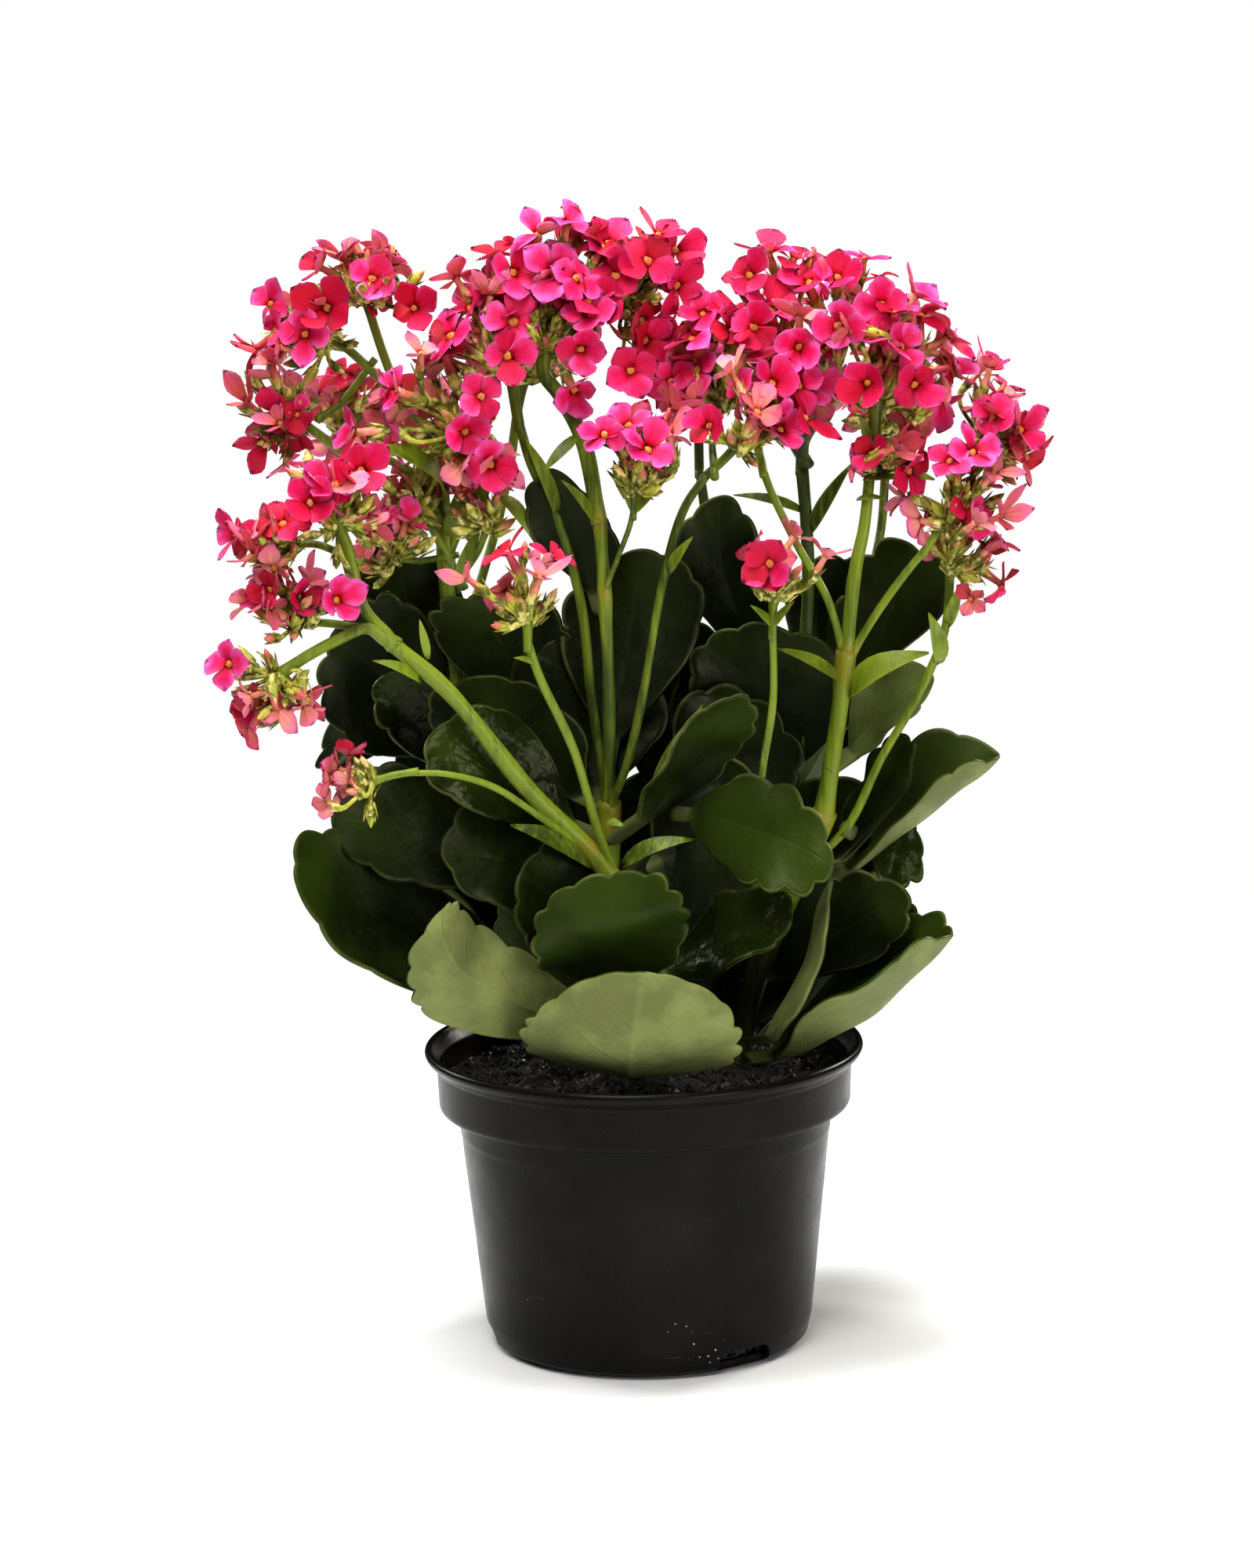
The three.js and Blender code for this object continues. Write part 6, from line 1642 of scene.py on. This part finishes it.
class KALANCHOE_OT_leaves(bpy.types.Operator):
    """Grows the fleshy leaves with their scalloped margins, those of the frame and those deep inside"""
    bl_idname = "kalanchoe.leaves"
    bl_label = "Leaves"

    def execute(self, context):
        sizes = context.scene.kalanchoe_leaf
        finish = leaf_finish(sizes, "leaf_skin", (0.34, 0.46), 0.0006)
        wet = leaf_finish(sizes, "wet_leaf_skin", (0.18, 0.32), 0.0015)
        rng = np.random.default_rng(SEED)
        for i, (name, spots) in enumerate(LEAVES.items()):
            look = {**self.own_look(rng), **LEAF_LOOKS.get(name, {})}
            skin = wet if name in WET_LEAVES else finish
            piece = leaf(name + "_leaf", spots, look, sizes, skin, SEED + i)
            settle(piece, node="leaf_" + name)
        for i, spots in enumerate(INNER_LEAVES):
            # Painted shade: a low tone paints the inner leaves dark.
            look = {**self.own_look(rng), "tone": 0.1}
            seed = INNER_LEAF_SEED + i
            settle(leaf(f"inner_leaf_{i + 1}", spots, look, sizes, finish, seed, INNER_ROWS))
        return {"FINISHED"}

    @staticmethod
    def own_look(rng):
        """The plain look, varied at random within each range."""
        return {**PLAIN_LEAF, **{key: rng.uniform(*ends) for key, ends in LEAF_RANGES.items()}}


class KALANCHOE_OT_flowers(bpy.types.Operator):
    """Opens the nineteen flower heads and the inner one: stalks, flowers, buds and sepals"""
    bl_idname = "kalanchoe.flowers"
    bl_label = "Flower heads"

    def execute(self, context):
        sizes = context.scene.kalanchoe_flower
        stalks = bpy.data.materials.get("stem_skin") or stem_finish(context.scene.kalanchoe_stem)
        finishes = [petal_finish(sizes), green_finish(sizes), stalks]
        for i, (name, form) in enumerate(HEADS.items()):
            settle(head(name, form, sizes, finishes, HEAD_SEED + i), node="flowers_" + name)
        for name, form in INNER_HEADS.items():
            settle(head(name, form, sizes, finishes, INNER_HEAD_SEED))
        return {"FINISHED"}


def aimed(at, back, roll=0):
    """The matrix of a light or camera at a place in metres, with that way behind it, rolled by degrees."""
    back = unit(back)
    right = unit(np.cross([0, 0, 1.0], back))
    up = np.cross(back, right)
    cos, sin = np.cos(np.radians(roll)), np.sin(np.radians(roll))
    axes = np.column_stack([right * cos + up * sin, up * cos - right * sin, back])
    return Matrix.Translation(at) @ Matrix(axes).to_4x4()


class KALANCHOE_OT_stage(bpy.types.Operator):
    """Sets the pale floor, the soft light and the camera"""
    bl_idname = "kalanchoe.stage"
    bl_label = "Floor, light and camera"

    def execute(self, context):
        sizes = context.scene.kalanchoe_stage
        self.floor(sizes)
        self.surroundings(context.scene, sizes.ambient)
        for name, light in LIGHTS.items():
            self.soft_light(name, getattr(sizes, name), *light)
        self.camera(context.scene)
        context.scene.view_settings.view_transform = "Standard"
        context.scene.view_settings.gamma = VIEW_GAMMA
        return {"FINISHED"}

    @staticmethod
    def floor(sizes):
        shell = Shell()
        reach = sizes.reach / MM
        shell.add(*turned(np.array([[0, -0.3], [reach, -0.3], [reach, -4], [0, -4]]), 96))
        shell.make("floor", [floor_finish(sizes)])

    @staticmethod
    def surroundings(scene, ambient):
        """White where the camera looks past the floor, and dimmer for everything that is lit by it."""
        world = bpy.data.worlds.new("surroundings")
        world.use_nodes = True
        tree = world.node_tree
        seen = tree.nodes.new("ShaderNodeLightPath").outputs["Is Camera Ray"]
        strength = tree.nodes.new("ShaderNodeMix")
        tree.links.new(seen, strength.inputs[0])
        strength.inputs[2].default_value = ambient
        strength.inputs[3].default_value = 1.0
        background = tree.nodes["Background"]
        background.inputs["Color"].default_value = (1, 1, 1, 1)
        tree.links.new(strength.outputs[0], background.inputs["Strength"])
        scene.world = world

    @staticmethod
    def soft_light(name, power, at, aim_height, size, colour):
        lamp = bpy.data.lights.new(name, "AREA")
        lamp.size, lamp.energy, lamp.color = size, power, colour
        lamp_object = bpy.data.objects.new(name, lamp)
        bpy.context.scene.collection.objects.link(lamp_object)
        lamp_object.matrix_world = aimed(at, np.subtract(at, (0, 0, aim_height)))

    @staticmethod
    def camera(scene):
        """The front view's camera: it looks from EYE at AIM, rolled a little, with the picture's long side
        taking in one part in CAMERA_REACH of the distance."""
        optics = bpy.data.cameras.new("front_view")
        optics.sensor_width = CAMERA_SENSOR
        optics.lens = CAMERA_SENSOR * CAMERA_REACH
        optics.clip_start, optics.clip_end = 0.05, 50
        view = bpy.data.objects.new("front_view", optics)
        scene.collection.objects.link(view)
        view.matrix_world = aimed(np.multiply(EYE, MM), np.subtract(EYE, AIM), CAMERA_ROLL)
        scene.camera = view


class KALANCHOE_PT_parts(bpy.types.Panel):
    """Lists the steps that build the kalanchoe, with their sizes and colours"""
    bl_label = "Potted kalanchoe"
    bl_idname = "KALANCHOE_PT_parts"
    bl_space_type = "VIEW_3D"
    bl_region_type = "UI"
    bl_category = "Kalanchoe"

    def draw(self, context):
        for name, (_, *steps) in PARTS.items():
            box = self.layout.box()
            for step in steps:
                box.operator(step.bl_idname)
            group = getattr(context.scene, name)
            for key in type(group).__annotations__:
                box.prop(group, key)


# Each part's measures on the scene, their class and the part's steps in order
PARTS = {
    "kalanchoe_pot": [PotMeasures, KALANCHOE_OT_pot, KALANCHOE_OT_peat],
    "kalanchoe_stem": [StemMeasures, KALANCHOE_OT_stems],
    "kalanchoe_leaf": [LeafMeasures, KALANCHOE_OT_leaves],
    "kalanchoe_flower": [FlowerMeasures, KALANCHOE_OT_flowers],
    "kalanchoe_stage": [StageMeasures, KALANCHOE_OT_stage],
}
CLASSES = [*(kind for kinds in PARTS.values() for kind in kinds), KALANCHOE_PT_parts]


def register():
    for kind in CLASSES:
        bpy.utils.register_class(kind)
    for name, (group, *_) in PARTS.items():
        setattr(bpy.types.Scene, name, bpy.props.PointerProperty(type=group))


def unregister():
    for name in PARTS:
        delattr(bpy.types.Scene, name)
    for kind in reversed(CLASSES):
        bpy.utils.unregister_class(kind)


def main():
    register()
    bpy.ops.kalanchoe.pot()
    bpy.ops.kalanchoe.peat()
    bpy.ops.kalanchoe.stems()
    bpy.ops.kalanchoe.leaves()
    bpy.ops.kalanchoe.flowers()
    bpy.ops.kalanchoe.stage()


if __name__ == "__main__":
    main()
